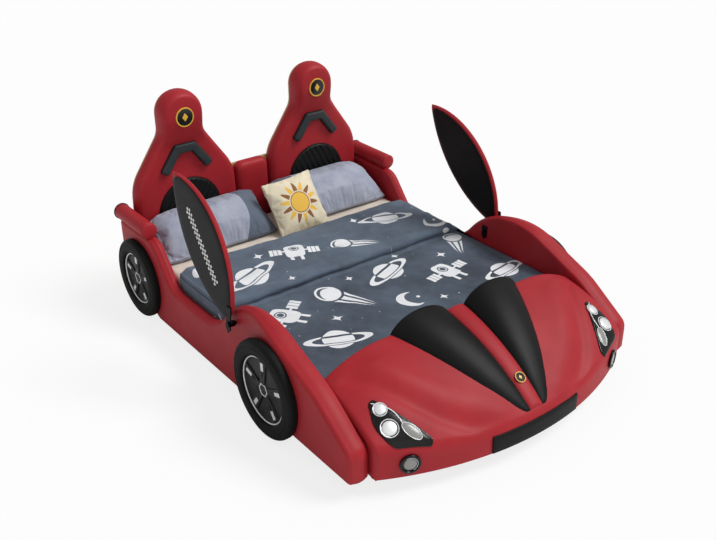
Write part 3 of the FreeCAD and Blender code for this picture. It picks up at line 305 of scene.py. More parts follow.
def plate(
    outline: Points,
    place: Depth,
    front: Depth,
    back: Depth,
    padding: Padding,
) -> Shape:
    """An upholstered plate: two padded faces over an outline, rounded at their edges, and a wall.

    Args:
        outline: the plate's outline, anticlockwise.
        place: sets points of the outline's plane at a depth down in the drawing.
        front: depth of the front face at points and at their distances from the outline.
        back: the same for the back face.
        padding: rounding and fineness.

    Returns:
        The closed shape.
    """
    inward = inward_of(outline)
    radius = max(padding.front_round, 1e-3)
    rings = [outline]
    for angle in np.linspace(0, math.pi / 2, padding.rings + 1)[1:]:
        inset = radius * (1 - math.cos(angle))
        ring = outline + inward * inset
        rings.append(
            ring[inside(ring, outline) & (distance_to(ring, outline) > 0.97 * inset - 1e-3)]
        )
    low, high = outline.min(axis=0), outline.max(axis=0)
    rows = np.arange(low[1], high[1], padding.step * 0.866)
    runs = [
        np.arange(low[0] + (i % 2) * padding.step / 2, high[0], padding.step)
        for i in range(len(rows))
    ]
    lattice = np.vstack([np.column_stack([run, 0 * run + row]) for run, row in zip(runs, rows)])
    lattice = lattice[inside(lattice, outline)]
    lattice = lattice[distance_to(lattice, outline) > radius + 0.4 * padding.step]
    flat = np.vstack(rings + [lattice])
    border = list(range(len(outline)))
    coords, _, faces, sources, _, _ = delaunay_2d_cdt(
        [Vector(p) for p in flat], [], [border], 1, 1e-4
    )
    where = {source: i for i, found in enumerate(sources) for source in found}
    plane = np.array([tuple(point) for point in coords])
    depth = distance_to(plane, outline)
    depth[[where[i] for i in border]] = 0.0
    u, v = plane[:, 0], plane[:, 1]
    face_w = front(u, v, depth) - edge_drop(depth, padding.front_round)
    back_w = back(u, v, depth) + edge_drop(depth, padding.back_round)
    edge = np.array([where[i] for i in border])
    count = len(plane)
    triangles = [tuple(face) for face in faces]
    walls = [edge]
    if padding.open_back:
        hem = np.arange(len(border)) + count
        return Shape(
            np.vstack([place(u, v, face_w), place(u[edge], v[edge], back_w[edge])]),
            triangles + [
                (int(edge[j - 1]), int(hem[j - 1]), int(hem[j]), int(edge[j]))
                for j in range(len(border))
            ],
        )
    points = [place(u, v, face_w), place(u, v, back_w)]
    triangles += [tuple(i + count for i in face[::-1]) for face in faces]
    parts = 7 if padding.crown else 1
    for k in range(1, parts):
        share = k / parts
        swell = outline - inward * padding.crown * 4 * share * (1 - share)
        wall_w = face_w[edge] * (1 - share) + back_w[edge] * share
        walls.append(np.arange(len(border)) + 2 * count + (k - 1) * len(border))
        points.append(place(swell[:, 0], swell[:, 1], wall_w))
    walls.append(edge + count)
    for near, far in zip(walls, walls[1:]):
        for i in border:
            j = (i + 1) % len(border)
            triangles.append((int(near[j]), int(near[i]), int(far[i]), int(far[j])))
    return Shape(np.vstack(points), triangles)


def sheet_of(grid: Points, around: bool = False, along: bool = False, caps: bool = False) -> Shape:
    """Quads over a grid of points.

    Args:
        grid: an array of rows by columns by 3.
        around: whether the last column joins the first.
        along: whether the last row joins the first.
        caps: whether the first and last rows are closed by a fan round their middle.

    Returns:
        The shape.
    """
    rows, columns = grid.shape[:2]
    points = grid.reshape(-1, 3)
    faces: list[tuple[int, ...]] = []
    for i in range(rows if along else rows - 1):
        for j in range(columns if around else columns - 1):
            a, b = i * columns + j, i * columns + (j + 1) % columns
            c, d = ((i + 1) % rows) * columns + (j + 1) % columns, ((i + 1) % rows) * columns + j
            faces.append((a, b, c, d))
    if caps:
        middles = np.vstack([grid[0].mean(axis=0), grid[-1].mean(axis=0)])
        first = len(points)
        points = np.vstack([points, middles])
        for j in range(columns if around else columns - 1):
            following = (j + 1) % columns
            faces.append((j, first, following))
            base = (rows - 1) * columns
            faces.append((base + j, base + following, first + 1))
    return Shape(points, faces)


def turned(
    profile: Sequence[RadiusHeight], centre: Sequence[float], axis: Sequence[float], parts: int = 96
) -> Shape:
    """A round piece turned from a profile.

    Args:
        profile: radius and height along the axis for each ring, from the piece's back on.
        centre: the axis's foot.
        axis: the axis's direction.
        parts: points round each ring.

    Returns:
        The closed shape.
    """
    up = np.array(axis, dtype=float) / np.linalg.norm(axis)
    helper = np.array([0.0, 0.0, 1.0]) if abs(up[2]) < 0.9 else np.array([0.0, 1.0, 0.0])
    side = np.cross(helper, up)
    side /= np.linalg.norm(side)
    other = np.cross(up, side)
    angles = angles_round(parts)
    spokes = np.cos(angles)[:, None] * side + np.sin(angles)[:, None] * other
    grid = np.array(
        [np.array(centre) + spokes * radius + up * height for radius, height in profile]
    )
    return sheet_of(grid, around=True, caps=True)


def tube(path: Points, radius: float, parts: int = 10, closed: bool = False) -> Shape:
    """A round tube along a path."""
    ahead = np.gradient(path, axis=0)
    if closed:
        ahead = np.roll(path, -1, axis=0) - np.roll(path, 1, axis=0)
    ahead /= np.linalg.norm(ahead, axis=1)[:, None]
    normal = np.cross(ahead[0], [0.3, 0.2, 0.9])
    angles = angles_round(parts)
    rings = []
    for point, direction in zip(path, ahead):
        normal = normal - direction * (normal @ direction)
        normal /= np.linalg.norm(normal)
        other = np.cross(direction, normal)
        rings.append(
            point + radius * (np.cos(angles)[:, None] * normal + np.sin(angles)[:, None] * other)
        )
    return sheet_of(np.array(rings), around=True, along=closed, caps=not closed)


# -------------------------------------------------------------------------------- finishes
def colour(hexadecimal: str) -> tuple[float, float, float, float]:
    """An sRGB hex colour in linear light."""
    values = [int(hexadecimal[i : i + 2], 16) / 255 for i in (1, 3, 5)]
    linear = [v / 12.92 if v <= 0.04045 else ((v + 0.055) / 1.055) ** 2.4 for v in values]
    return (linear[0], linear[1], linear[2], 1.0)


def add(tree: Tree, kind: str, inputs: dict[Any, Any] | None = None, **settings: Any) -> Any:
    """Adds a node.

    Args:
        tree: the tree it goes into.
        kind: the node's type.
        inputs: values, or sockets to link from, by input name or number.
        settings: the node's own settings.

    Returns:
        The node.
    """
    node = tree.nodes.new(kind)
    for name, value in settings.items():
        setattr(node, name, value)
    for name, value in (inputs or {}).items():
        if isinstance(value, bpy.types.NodeSocket):
            tree.links.new(value, node.inputs[name])
        else:
            node.inputs[name].default_value = value
    return node


def ramp(tree: Tree, factor: Any, stops: Sequence[tuple[float, Any]]) -> Any:
    """A colour ramp's output over a factor, with (place, linear colour) stops."""
    node = add(tree, "ShaderNodeValToRGB", {"Fac": factor})
    band = node.color_ramp
    while len(band.elements) < len(stops):
        band.elements.new(0.5)
    for element, (place, value) in zip(band.elements, stops):
        element.position, element.color = place, value
    return node.outputs["Color"]


def blotches(tree: Tree, place: Any, size: float, detail: float, roughness: float = 0.5) -> Any:
    """The output of a noise whose blotches are a size in metres.

    Args:
        tree: the tree it goes into.
        place: the pattern's coordinates.
        size: how large a blotch is.
        detail: how many finer layers it has.
        roughness: how strong those are.

    Returns:
        The factor's socket.
    """
    inputs = {"Vector": place, "Scale": 1 / size, "Detail": detail, "Roughness": roughness}
    return add(tree, "ShaderNodeTexNoise", inputs).outputs["Fac"]


def between(tree: Tree, factor: Any, low: float, high: float) -> Any:
    """A factor's output, spread from low to high."""
    inputs = {"Value": factor, "To Min": low, "To Max": high}
    return add(tree, "ShaderNodeMapRange", inputs).outputs["Result"]


def bumped(tree: Tree, height: Any, depth: float, strength: float, under: Any = None) -> Any:
    """The normal of a bump over a height.

    Args:
        tree: the tree it goes into.
        height: the height's socket.
        depth: how deep it is, in metres.
        strength: its share.
        under: the normal of a coarser bump below it.

    Returns:
        The normal's socket.
    """
    inputs = {"Height": height, "Distance": depth, "Strength": strength}
    if under is not None:
        inputs["Normal"] = under
    return add(tree, "ShaderNodeBump", inputs).outputs["Normal"]


def principled(tree: Tree, tint: Any, roughness: Any, **more: Any) -> Any:
    """The shader every finish ends in.

    Args:
        tree: the tree it goes into.
        tint: its colour, or a socket.
        roughness: its roughness, or a socket.
        more: other inputs by name, with _ for each space.

    Returns:
        The shader's socket.
    """
    inputs = {"Base Color": tint, "Roughness": roughness}
    inputs |= {name.replace("_", " "): value for name, value in more.items()}
    return add(tree, "ShaderNodeBsdfPrincipled", inputs).outputs["BSDF"]


def object_place(tree: Tree) -> Any:
    """The socket of the Object coordinates."""
    return add(tree, "ShaderNodeTexCoord").outputs["Object"]


def cloth_place(tree: Tree) -> Any:
    """The socket of a point's place on its flat cloth, in metres."""
    return add(tree, "ShaderNodeUVMap", uv_map="cloth").outputs["UV"]


def mixed(tree: Tree, factor: Any, first: Any, second: Any) -> Any:
    """The socket of a colour mixed from two."""
    inputs = {"Factor": factor, "A": first, "B": second}
    return add(tree, "ShaderNodeMix", inputs, data_type="RGBA").outputs[2]


@dataclass(frozen=True)
class Finish:
    """Base of the finishes: a name, a record slot and how its material is made."""

    name: str
    slot: str

    def material(self) -> bpy.types.Material:
        """The finish's material, made once."""
        found = bpy.data.materials.get(self.name)
        if found is not None:
            return found
        made = bpy.data.materials.new(self.name)
        made.use_nodes = True
        tree = made.node_tree
        tree.nodes.clear()
        out = add(tree, "ShaderNodeOutputMaterial")
        tree.links.new(self.shade(tree), out.inputs["Surface"])
        return made

    def shade(self, tree: Tree) -> Any:
        """The shader's output socket; each finish makes its own."""
        raise NotImplementedError


@dataclass(frozen=True)
class VinylLeather(Finish):
    """PVC upholstery leather, calendered and embossed: even colour, pebble grain, satin gloss."""

    base: str = "#A8242C"
    shade_colour: str = "#9C2028"
    roughness: float = 0.52
    grain: float = 3.0  # the real pebble is about 1 mm; drawn coarser so that it shows
    rumple: float = 0.6  # depth of the soft unevenness of foam under the leather
    shine: float = 0.25  # share of the usual mirror reflection

    def shade(self, tree: Tree) -> Any:
        """Mottled colour, pebble grain and the slight unevenness of the foam."""
        place = object_place(tree)
        cloud = blotches(tree, place, 0.16, 5.0, 0.6)
        tint = ramp(tree, cloud, [(0.25, colour(self.shade_colour)), (0.75, colour(self.base))])
        pebble = add(
            tree,
            "ShaderNodeTexVoronoi",
            {"Vector": place, "Scale": 1000 / self.grain},
            feature="SMOOTH_F1",
        )
        foam = bumped(tree, blotches(tree, place, 0.09, 2.0, 0.45), 0.0028 * self.rumple, 0.7)
        fine = bumped(tree, pebble.outputs["Distance"], 0.0005, 0.4, foam)
        gloss = between(tree, cloud, self.roughness + 0.06, self.roughness - 0.05)
        return principled(tree, tint, gloss, Normal=fine, Specular_IOR_Level=self.shine)


@dataclass(frozen=True)
class Moulded(Finish):
    """Injection-moulded ABS: even colour, sharp or satin gloss, faint flow marks."""

    base: str = "#0B0B0C"
    roughness: float = 0.3
    coat: float = 0.0
    shine: float = 0.5  # share of the usual mirror reflection

    def shade(self, tree: Tree) -> Any:
        """Even colour with a gloss that varies a little."""
        flow = blotches(tree, object_place(tree), 0.03, 3.0)
        gloss = between(tree, flow, self.roughness - 0.05, self.roughness + 0.07)
        marks = bumped(tree, flow, 0.0002, 0.3)
        coat = {"Coat_Weight": self.coat, "Coat_Roughness": 0.05}
        return principled(
            tree, colour(self.base), gloss, Normal=marks, Specular_IOR_Level=self.shine, **coat
        )


@dataclass(frozen=True)
class Metal(Finish):
    """A metal surface, plated or rolled."""

    base: str = "#C9CCD0"
    roughness: float = 0.12
    metallic: float = 1.0

    def shade(self, tree: Tree) -> Any:
        """Metal with fine handling marks in its gloss."""
        marks = blotches(tree, object_place(tree), 0.012, 4.0)
        gloss = between(tree, marks, self.roughness * 0.8, self.roughness * 1.3)
        return principled(tree, colour(self.base), gloss, Metallic=self.metallic)


@dataclass(frozen=True)
class Wood(Finish):
    """Sawn or peeled wood: long fibres, darker late-wood bands, lightly sanded."""

    base: str = "#D9B98A"
    dark: str = "#B98F5C"
    along: tuple[float, float, float] = (1.0, 12.0, 12.0)

    def shade(self, tree: Tree) -> Any:
        """Stretched grain."""
        stretch = add(
            tree, "ShaderNodeMapping", {"Vector": object_place(tree), "Scale": self.along}
        )
        inputs = {
            "Vector": stretch.outputs["Vector"], "Scale": 6.0, "Detail": 6.0, "Distortion": 0.6
        }
        fibre = add(tree, "ShaderNodeTexNoise", inputs).outputs["Fac"]
        tint = ramp(tree, fibre, [(0.35, colour(self.dark)), (0.65, colour(self.base))])
        return principled(tree, tint, 0.55, Normal=bumped(tree, fibre, 0.0006, 0.4))


@dataclass(frozen=True)
class Percale(Finish):
    """Brushed cotton-polyester percale: matt, slightly fuzzy, creased from being folded."""

    base: str = "#D8CBBE"
    dark: str = "#C9BBAC"
    crease: float = 1.0

    def tint(self, tree: Tree, cloud: Any) -> Any:
        """The cloth's uneven colour over a noise."""
        return ramp(tree, cloud, [(0.3, colour(self.dark)), (0.66, colour(self.base))])

    def shade(self, tree: Tree) -> Any:
        """Plain weave with soft creases."""
        place = object_place(tree)
        tint = self.tint(tree, blotches(tree, place, 0.07, 6.0, 0.62))
        return cloth_shader(tree, place, tint, self.crease)


@dataclass(frozen=True)
class Term:
    """A number in a node tree that takes part in arithmetic; its results are new terms."""

    tree: Tree
    socket: Any

    def of(self, operation: str, *others: Any) -> "Term":
        """The result of a Math node over this term and up to two others.

        Args:
            operation: the Math node's operation.
            others: terms or plain numbers.

        Returns:
            The result.
        """
        values = {0: self.socket}
        for i, other in enumerate(others, 1):
            values[i] = other.socket if isinstance(other, Term) else float(other)
        node = add(self.tree, "ShaderNodeMath", values, operation=operation)
        return Term(self.tree, node.outputs[0])

    def __add__(self, other: Any) -> "Term":
        """The sum of two terms."""
        return self.of("ADD", other)

    def __sub__(self, other: Any) -> "Term":
        """Their difference."""
        return self.of("SUBTRACT", other)

    def __mul__(self, other: Any) -> "Term":
        """Their product."""
        return self.of("MULTIPLY", other)

    def __lt__(self, other: Any) -> "Term":
        """1 where this term is the smaller one."""
        return self.of("LESS_THAN", other)

    def __gt__(self, other: Any) -> "Term":
        """1 where this term is the greater one."""
        return self.of("GREATER_THAN", other)

    def __abs__(self) -> "Term":
        """The term without its sign."""
        return self.of("ABSOLUTE")

    def away(self, other: "Term") -> "Term":
        """The length of the vector of this term and another."""
        return (self * self + other * other).of("SQRT")

    def either(self, other: "Term") -> "Term":
        """The greater of two terms."""
        return self.of("MAXIMUM", other)

    def without(self, other: "Term") -> "Term":
        """This mask where another one isn't set."""
        return self * (other.of("MULTIPLY", -1.0) + 1.0)


class Device(Enum):
    """The shapes of the duvet's print, each drawn within one unit of its middle."""

    PLANET = "planet"
    MOON = "moon"
    COMET = "comet"
    CRAFT = "craft"
    STAR = "star"

    def mask(self, x: Term, y: Term) -> Term:
        """1 where the shape is printed.

        Args:
            x: across the shape.
            y: along it.

        Returns:
            The mask.
        """
        if self is Device.PLANET:
            ball, ellipse = x.away(y), (x * 0.8).away(y * 3.0)
            bands = (abs(y - 0.22) < 0.05).either(abs(y + 0.3) < 0.035)
            ring = (ellipse < 0.98) * (ellipse > 0.74) * (ball > 0.6).either(y < 0.0)
            gap = (ellipse < 1.08) * (ellipse > 0.62) * (y < 0.0)
            return (ball < 0.56).without(bands).without(gap).either(ring)
        if self is Device.MOON:
            ball, bite = x.away(y) < 0.8, (x - 0.34).away(y - 0.16) < 0.66
            return ball.without(bite).either((x - 0.45).away(y - 0.2) < 0.11)
        if self is Device.COMET:
            reach = (x + 1.05) * 0.2
            tail = (abs(y) < reach) * (x < 0.6) * (x > -1.0)
            lines = (abs(abs(y) - reach * 0.5) < 0.035) * (x < 0.35)
            head = (x - 0.62).away(y)
            shadow = ((x - 0.52).away(y + 0.04) > 0.3) * (head < 0.28)
            return (head < 0.34).without(shadow).either(tail.without(lines).without(head < 0.41))
        if self is Device.CRAFT:
            body = ((abs(x) * 1.5).of("POWER", 4.0) + (abs(y) * 1.15).of("POWER", 4.0)) < 0.12
            window = x.away(y - 0.14)
            wings = (abs(x) > 0.5) * (abs(x) < 1.0) * (abs(y + 0.06) < 0.2)
            slots = (abs(x) * 6.0).of("FRACT") < 0.14
            stays = (abs(y + 0.06) < 0.04) * (abs(x) < 0.55)
            tails = (abs(abs(x) - 0.2) < 0.07) * (y < -0.5) * (y > -0.82)
            face = (window < 0.21).without((window < 0.16) * (window > 0.12))
            sides = wings.without(slots).either(stays.without(body))
            return body.without(face).either(sides).either(tails)
        return (abs(x).of("SQRT") + abs(y).of("SQRT")) < 0.95


@dataclass(frozen=True)
class Motif:
    """One shape of the print: where it is on the bed, its size and its turn."""

    device: Device
    x: float  # metres from the bed's middle line
    y: float  # metres from the nose
    size: float  # metres from its middle to its end
    turn: float = 0.0  # degrees


DUVET_PRINT: tuple[Motif, ...] = (
    Motif(Device.PLANET, -0.50, 1.30, 0.118, 24),
    Motif(Device.CRAFT, -0.17, 1.41, 0.105, -22),
    Motif(Device.COMET, 0.16, 1.27, 0.125, 148),
    Motif(Device.PLANET, 0.47, 1.43, 0.105, -18),
    Motif(Device.MOON, 0.66, 1.22, 0.062, 30),
    Motif(Device.MOON, -0.67, 1.50, 0.055, -60),
    Motif(Device.CRAFT, -0.55, 0.93, 0.115, 38),
    Motif(Device.COMET, -0.20, 0.87, 0.155, 118),
    Motif(Device.PLANET, -0.47, 0.60, 0.105, -20),
    Motif(Device.PLANET, 0.13, 0.98, 0.110, 22),
    Motif(Device.MOON, 0.03, 0.68, 0.070, -30),
    Motif(Device.CRAFT, 0.37, 0.80, 0.110, 12),
    Motif(Device.COMET, 0.62, 0.99, 0.120, 62),
    Motif(Device.PLANET, 0.62, 0.62, 0.100, 10),
    Motif(Device.STAR, -0.36, 1.47, 0.034),
    Motif(Device.STAR, 0.31, 1.52, 0.030),
    Motif(Device.STAR, -0.35, 1.16, 0.026),
    Motif(Device.STAR, -0.36, 0.76, 0.036),
    Motif(Device.STAR, 0.27, 1.10, 0.028),
    Motif(Device.STAR, 0.47, 0.95, 0.034),
    Motif(Device.STAR, -0.08, 1.04, 0.026),
    Motif(Device.STAR, 0.18, 0.60, 0.030),
    Motif(Device.STAR, -0.68, 0.76, 0.030),
)


@dataclass(frozen=True)
class PrintedPercale(Percale):
    """Slate percale with a white screen print of ringed planets, moons, comets, craft and stars."""

    motifs: tuple[Motif, ...] = ()
    ink: str = "#E6E8EB"
    flap_from: float = 1.1  # metres from the nose; from here the folded head end is painted lighter: its lighter reverse side, and a painted highlight on the raised fold
    flap_tone_and_highlight: float = 0.13
    spread: float = 1.3  # every shape is printed this much larger than its own size

    def group(self, device: Device) -> Tree:
        """The node group that masks one shape, made once."""
        name = f"print_{device.value}"
        if name in bpy.data.node_groups:
            return bpy.data.node_groups[name]
        tree = bpy.data.node_groups.new(name, "ShaderNodeTree")
        tree.interface.new_socket(name="Place", in_out="INPUT", socket_type="NodeSocketVector")
        tree.interface.new_socket(name="Mask", in_out="OUTPUT", socket_type="NodeSocketFloat")
        entry, leave = add(tree, "NodeGroupInput"), add(tree, "NodeGroupOutput")
        parts = add(tree, "ShaderNodeSeparateXYZ", {"Vector": entry.outputs["Place"]})
        mask = device.mask(Term(tree, parts.outputs["X"]), Term(tree, parts.outputs["Y"]))
        tree.links.new(mask.socket, leave.inputs["Mask"])
        return tree

    def shade(self, tree: Tree) -> Any:
        """Washed slate ground, lighter on the folded flap for its reverse side and a painted
        highlight, the print over it, and fine white dots.
        """
        place, flat = object_place(tree), cloth_place(tree)
        along = Term(tree, add(tree, "ShaderNodeSeparateXYZ", {"Vector": flat}).outputs["Y"])
        # the folded flap painted lighter: its lighter reverse side and a painted highlight on the
        # raised fold
        flap_tone_highlight = (along > self.flap_from) * self.flap_tone_and_highlight
        ground_tone_and_highlight = Term(tree, blotches(tree, flat, 0.42, 8.0, 0.64)) + flap_tone_highlight
        ground = ramp(tree, ground_tone_and_highlight.socket, [(0.36, colour(self.dark)), (0.74, colour(self.base))])
        masks = []
        for motif in self.motifs:
            size = motif.size * self.spread
            where = {"Vector": flat, "Location": (motif.x, motif.y, 0.0)}
            where |= {"Rotation": (0.0, 0.0, math.radians(motif.turn)), "Scale": (size, size, 1.0)}
            moved = add(tree, "ShaderNodeMapping", where, vector_type="TEXTURE")
            found = add(tree, "ShaderNodeGroup", node_tree=self.group(motif.device))
            tree.links.new(moved.outputs["Vector"], found.inputs["Place"])
            masks.append(Term(tree, found.outputs["Mask"]))
        printed = reduce(Term.either, masks)
        cells = add(
            tree, "ShaderNodeTexVoronoi", {"Vector": flat, "Scale": 1 / 0.033}, feature="F1"
        )
        parts = add(tree, "ShaderNodeSeparateColor", {"Color": cells.outputs["Color"]})
        chance = Term(tree, parts.outputs["Red"])
        near = Term(tree, cells.outputs["Distance"]) < (chance.of("POWER", 3.0) * 0.10)
        dots = near * (chance > 0.3)
        tint = mixed(tree, printed.either(dots * 0.85).socket, ground, colour(self.ink))
        return cloth_shader(tree, place, tint, self.crease)


@dataclass(frozen=True)
class BackClothAndShadePercale(Percale):
    """Lavender percale whose inner end is slate behind a curved edge: the case's back cloth there,
    and painted shade where the pillow turns from the light.
    """

    # slate of the inner end: the back cloth, and painted shade there
    flap: str = "#5A6474"
    edge: float = 0.2  # metres from the pillow's middle to the edge of the slate end, its back cloth and painted shade

    def shade(self, tree: Tree) -> Any:
        """Plain weave in two colours: lavender, and slate at the inner end for the back cloth and
        painted shade.
        """
        place = object_place(tree)
        parts = add(tree, "ShaderNodeSeparateXYZ", {"Vector": cloth_place(tree)})
        x, y = Term(tree, parts.outputs["X"]), Term(tree, parts.outputs["Y"])
        tint = self.tint(tree, blotches(tree, place, 0.09, 6.0, 0.62))
        # the inner end painted slate: back cloth and painted shade
        ends = x + y * 0.12 - y * y * 1.6 < -self.edge
        tint = mixed(tree, ends.socket, tint, colour(self.flap))
        return cloth_shader(tree, place, tint, self.crease)


@dataclass(frozen=True)
class SunCanvas(Percale):
    """Cream canvas with a plain printed sun: a yellow disc, brown and yellow rays."""

    disc: str = "#E9B94A"
    ray: str = "#8A5A33"

    def shade(self, tree: Tree) -> Any:
        """Cream ground, the sun in the cushion's middle."""
        place = object_place(tree)
        parts = add(tree, "ShaderNodeSeparateXYZ", {"Vector": cloth_place(tree)})
        x, y = Term(tree, parts.outputs["X"]), Term(tree, parts.outputs["Y"])
        reach = x.away(y)
        turn = y.of("ARCTAN2", x) * (14 / (2 * math.pi)) + 20.0
        blade = abs(turn.of("FRACT") - 0.5) * 2.0
        rays = (reach > 0.068) * (reach < 0.12) * (
            (reach - 0.068) * 14.0 < (blade.of("MULTIPLY", -1.0) + 0.86)
        )
        brown = rays * (turn * 0.5).of("FRACT").of("GREATER_THAN", 0.5)
        rim = (reach > 0.056) * (reach < 0.061)
        tint = self.tint(tree, blotches(tree, place, 0.07, 5.0))
        layers = ((reach < 0.056, self.disc), (rays, self.disc), (brown, self.ray), (rim, self.ray))
        for mask, ink in layers:
            tint = mixed(tree, mask.socket, tint, colour(ink))
        return cloth_shader(tree, place, tint, self.crease)


def cloth_shader(tree: Tree, place: Any, tint: Any, crease: float) -> Any:
    """A woven cloth's shader over a colour.

    Args:
        tree: the material's tree.
        place: the pattern's coordinates.
        tint: the colour socket.
        crease: how deep the creases are.

    Returns:
        The shader socket.
    """
    inputs = {
        "Vector": place, "Scale": 1 / 0.11, "Detail": 3.5, "Roughness": 0.55, "Distortion": 0.8
    }
    folds = add(tree, "ShaderNodeTexNoise", inputs, noise_type="RIDGED_MULTIFRACTAL").outputs["Fac"]
    # threads are 0.25 mm apart; drawn at 2.5 mm so that a trace of the weave shows
    weave = add(
        tree, "ShaderNodeTexVoronoi", {"Vector": place, "Scale": 1 / 0.0025}
    ).outputs["Distance"]
    fine = bumped(tree, weave, 0.0004, 0.3, bumped(tree, folds, 0.003 * crease, 0.5))
    return principled(tree, tint, 0.85, Normal=fine, Sheen_Weight=0.12, Sheen_Roughness=0.5)


class Book:
    """Every finish of the bed."""

    RED = VinylLeather("vinyl_leather_red_embossed", "red_leather")
    BLACK = VinylLeather(
        "vinyl_leather_black_smooth", "black_leather", "#0E0D0D", "#090909", 0.46, 2.4, 0.5, 0.16
    )
    RIBBED = VinylLeather(
        "vinyl_leather_black_channelled",
        "ribbed_black_leather",
        "#0C0D0C",
        "#070807",
        0.5,
        2.4,
        0.4,
        0.22,
    )
    CHARCOAL = VinylLeather(
        "vinyl_leather_charcoal_embossed",
        "charcoal_leather",
        "#34393B",
        "#2A2F31",
        0.55,
        2.4,
        0.5,
        0.25,
    )
    TYRE = VinylLeather(
        "vinyl_leather_tyre_matt", "black_leather", "#121413", "#0B0D0C", 0.62, 3.0, 0.8, 0.15
    )
    COVER = Moulded("abs_black_moulded", "black_plastic", "#060607", 0.3, 0.0, 0.25)
    LAMP = Moulded("abs_black_polished", "lamp_black", "#060708", 0.2, 0.1, 0.3)
    LENS = Moulded("polycarbonate_grey_moulded", "lamp_lens", "#8A8B86", 0.3, 0.3)
    BADGE = Moulded("abs_badge_black_glossy", "badge_plastic", "#0C0C0C", 0.2)
    YELLOW = Moulded("abs_badge_yellow_glossy", "badge_plastic", "#E3B23C", 0.3)
    CHROME = Metal("chrome_plated", "chrome")
    DARK_STEEL = Metal("steel_black_oxidised", "black_metal", "#1B1B1D", 0.4)
    SILVER = Metal("aluminium_paint_satin", "chrome", "#E4E5E6", 0.3, 0.3)
    THREAD = Percale("polyester_thread_black_bonded", "black_leather", "#1C1213", "#120C0D", 0.2)
    STEEL = Metal("steel_zinc_plated", "steel", "#A9ACAE", 0.35)
    PLYWOOD = Wood("poplar_plywood_sanded", "plywood", "#D2B487", "#BE9868", (1.4, 24.0, 26.0))
    TIMBER = Wood("pine_batten_planed", "timber", "#DDBD8C", "#BE9362", (12.0, 1.0, 12.0))
    SHEET = Percale("cotton_percale_cream_woven", "sheet_cloth", "#DDD0C3", "#CFC1B3", 0.8)
    PILLOW = BackClothAndShadePercale("cotton_percale_lavender_woven", "pillow_cloth", "#A6ABBA", "#8F95A8", 1.6)
    WHITE = Moulded("vinyl_film_white_printed", "black_leather", "#E6E6E4", 0.45)
    DUVET = PrintedPercale(
        "cotton_percale_slate_printed", "duvet_cloth", "#5C6A7B", "#2E3946", 2.8, DUVET_PRINT
    )
    CUSHION = SunCanvas("cotton_canvas_cream_printed", "cushion_cloth", "#E6DCC2", "#DACFB2", 0.9)


# -------------------------------------------------------------------------------- pieces
def linked(name: str, data: Any) -> bpy.types.Object:
    """A new object in the scene, over a mesh, a camera or a lamp."""
    made = bpy.data.objects.new(name, data)
    bpy.context.scene.collection.objects.link(made)
    return made


def mend(mesh: bpy.types.Mesh, closed: bool = True) -> None:
    """Joins doubled points, and turns a closed mesh's faces outwards."""
    work = bmesh.new()
    work.from_mesh(mesh)
    bmesh.ops.remove_doubles(work, verts=work.verts, dist=1e-6)
    if closed:
        bmesh.ops.recalc_face_normals(work, faces=work.faces)
    work.to_mesh(mesh)
    work.free()


def mesh_object(
    name: str,
    shape: Shape,
    finish: Finish,
    crisp: float = 50.0,
    closed: bool = True,
    cloth: Points | None = None,
) -> bpy.types.Object:
    """Makes a shape an object at the origin, its place in its mesh.

    Args:
        name: the piece's name.
        shape: the shape, in drawn millimetres.
        finish: its finish.
        crisp: edges that turn by more degrees than this stay sharp.
        closed: whether the shape is closed, so that its faces can be turned outwards.
        cloth: each point's place on its flat cloth in metres, for a print.

    Returns:
        The object.
    """
    mesh = bpy.data.meshes.new(name)
    mesh.from_pydata(to_frame(shape.points).tolist(), [], shape.faces)
    if cloth is not None:
        corners = np.empty(len(mesh.loops), dtype=np.int64)
        mesh.loops.foreach_get("vertex_index", corners)
        mesh.uv_layers.new(name="cloth").data.foreach_set(
            "uv", cloth[corners].astype(np.float32).ravel()
        )
    mend(mesh, closed)
    mesh.shade_smooth()
    mesh.set_sharp_from_angle(angle=math.radians(crisp))
    made = linked(name, mesh)
    mesh.materials.append(finish.material())
    return made


class Layout(Enum):
    """How a small shape is repeated."""

    STEPS = "steps"  # each copy moved and turned by one step more than the last
    SEAM = "seam"  # copies along a line, at an even pitch


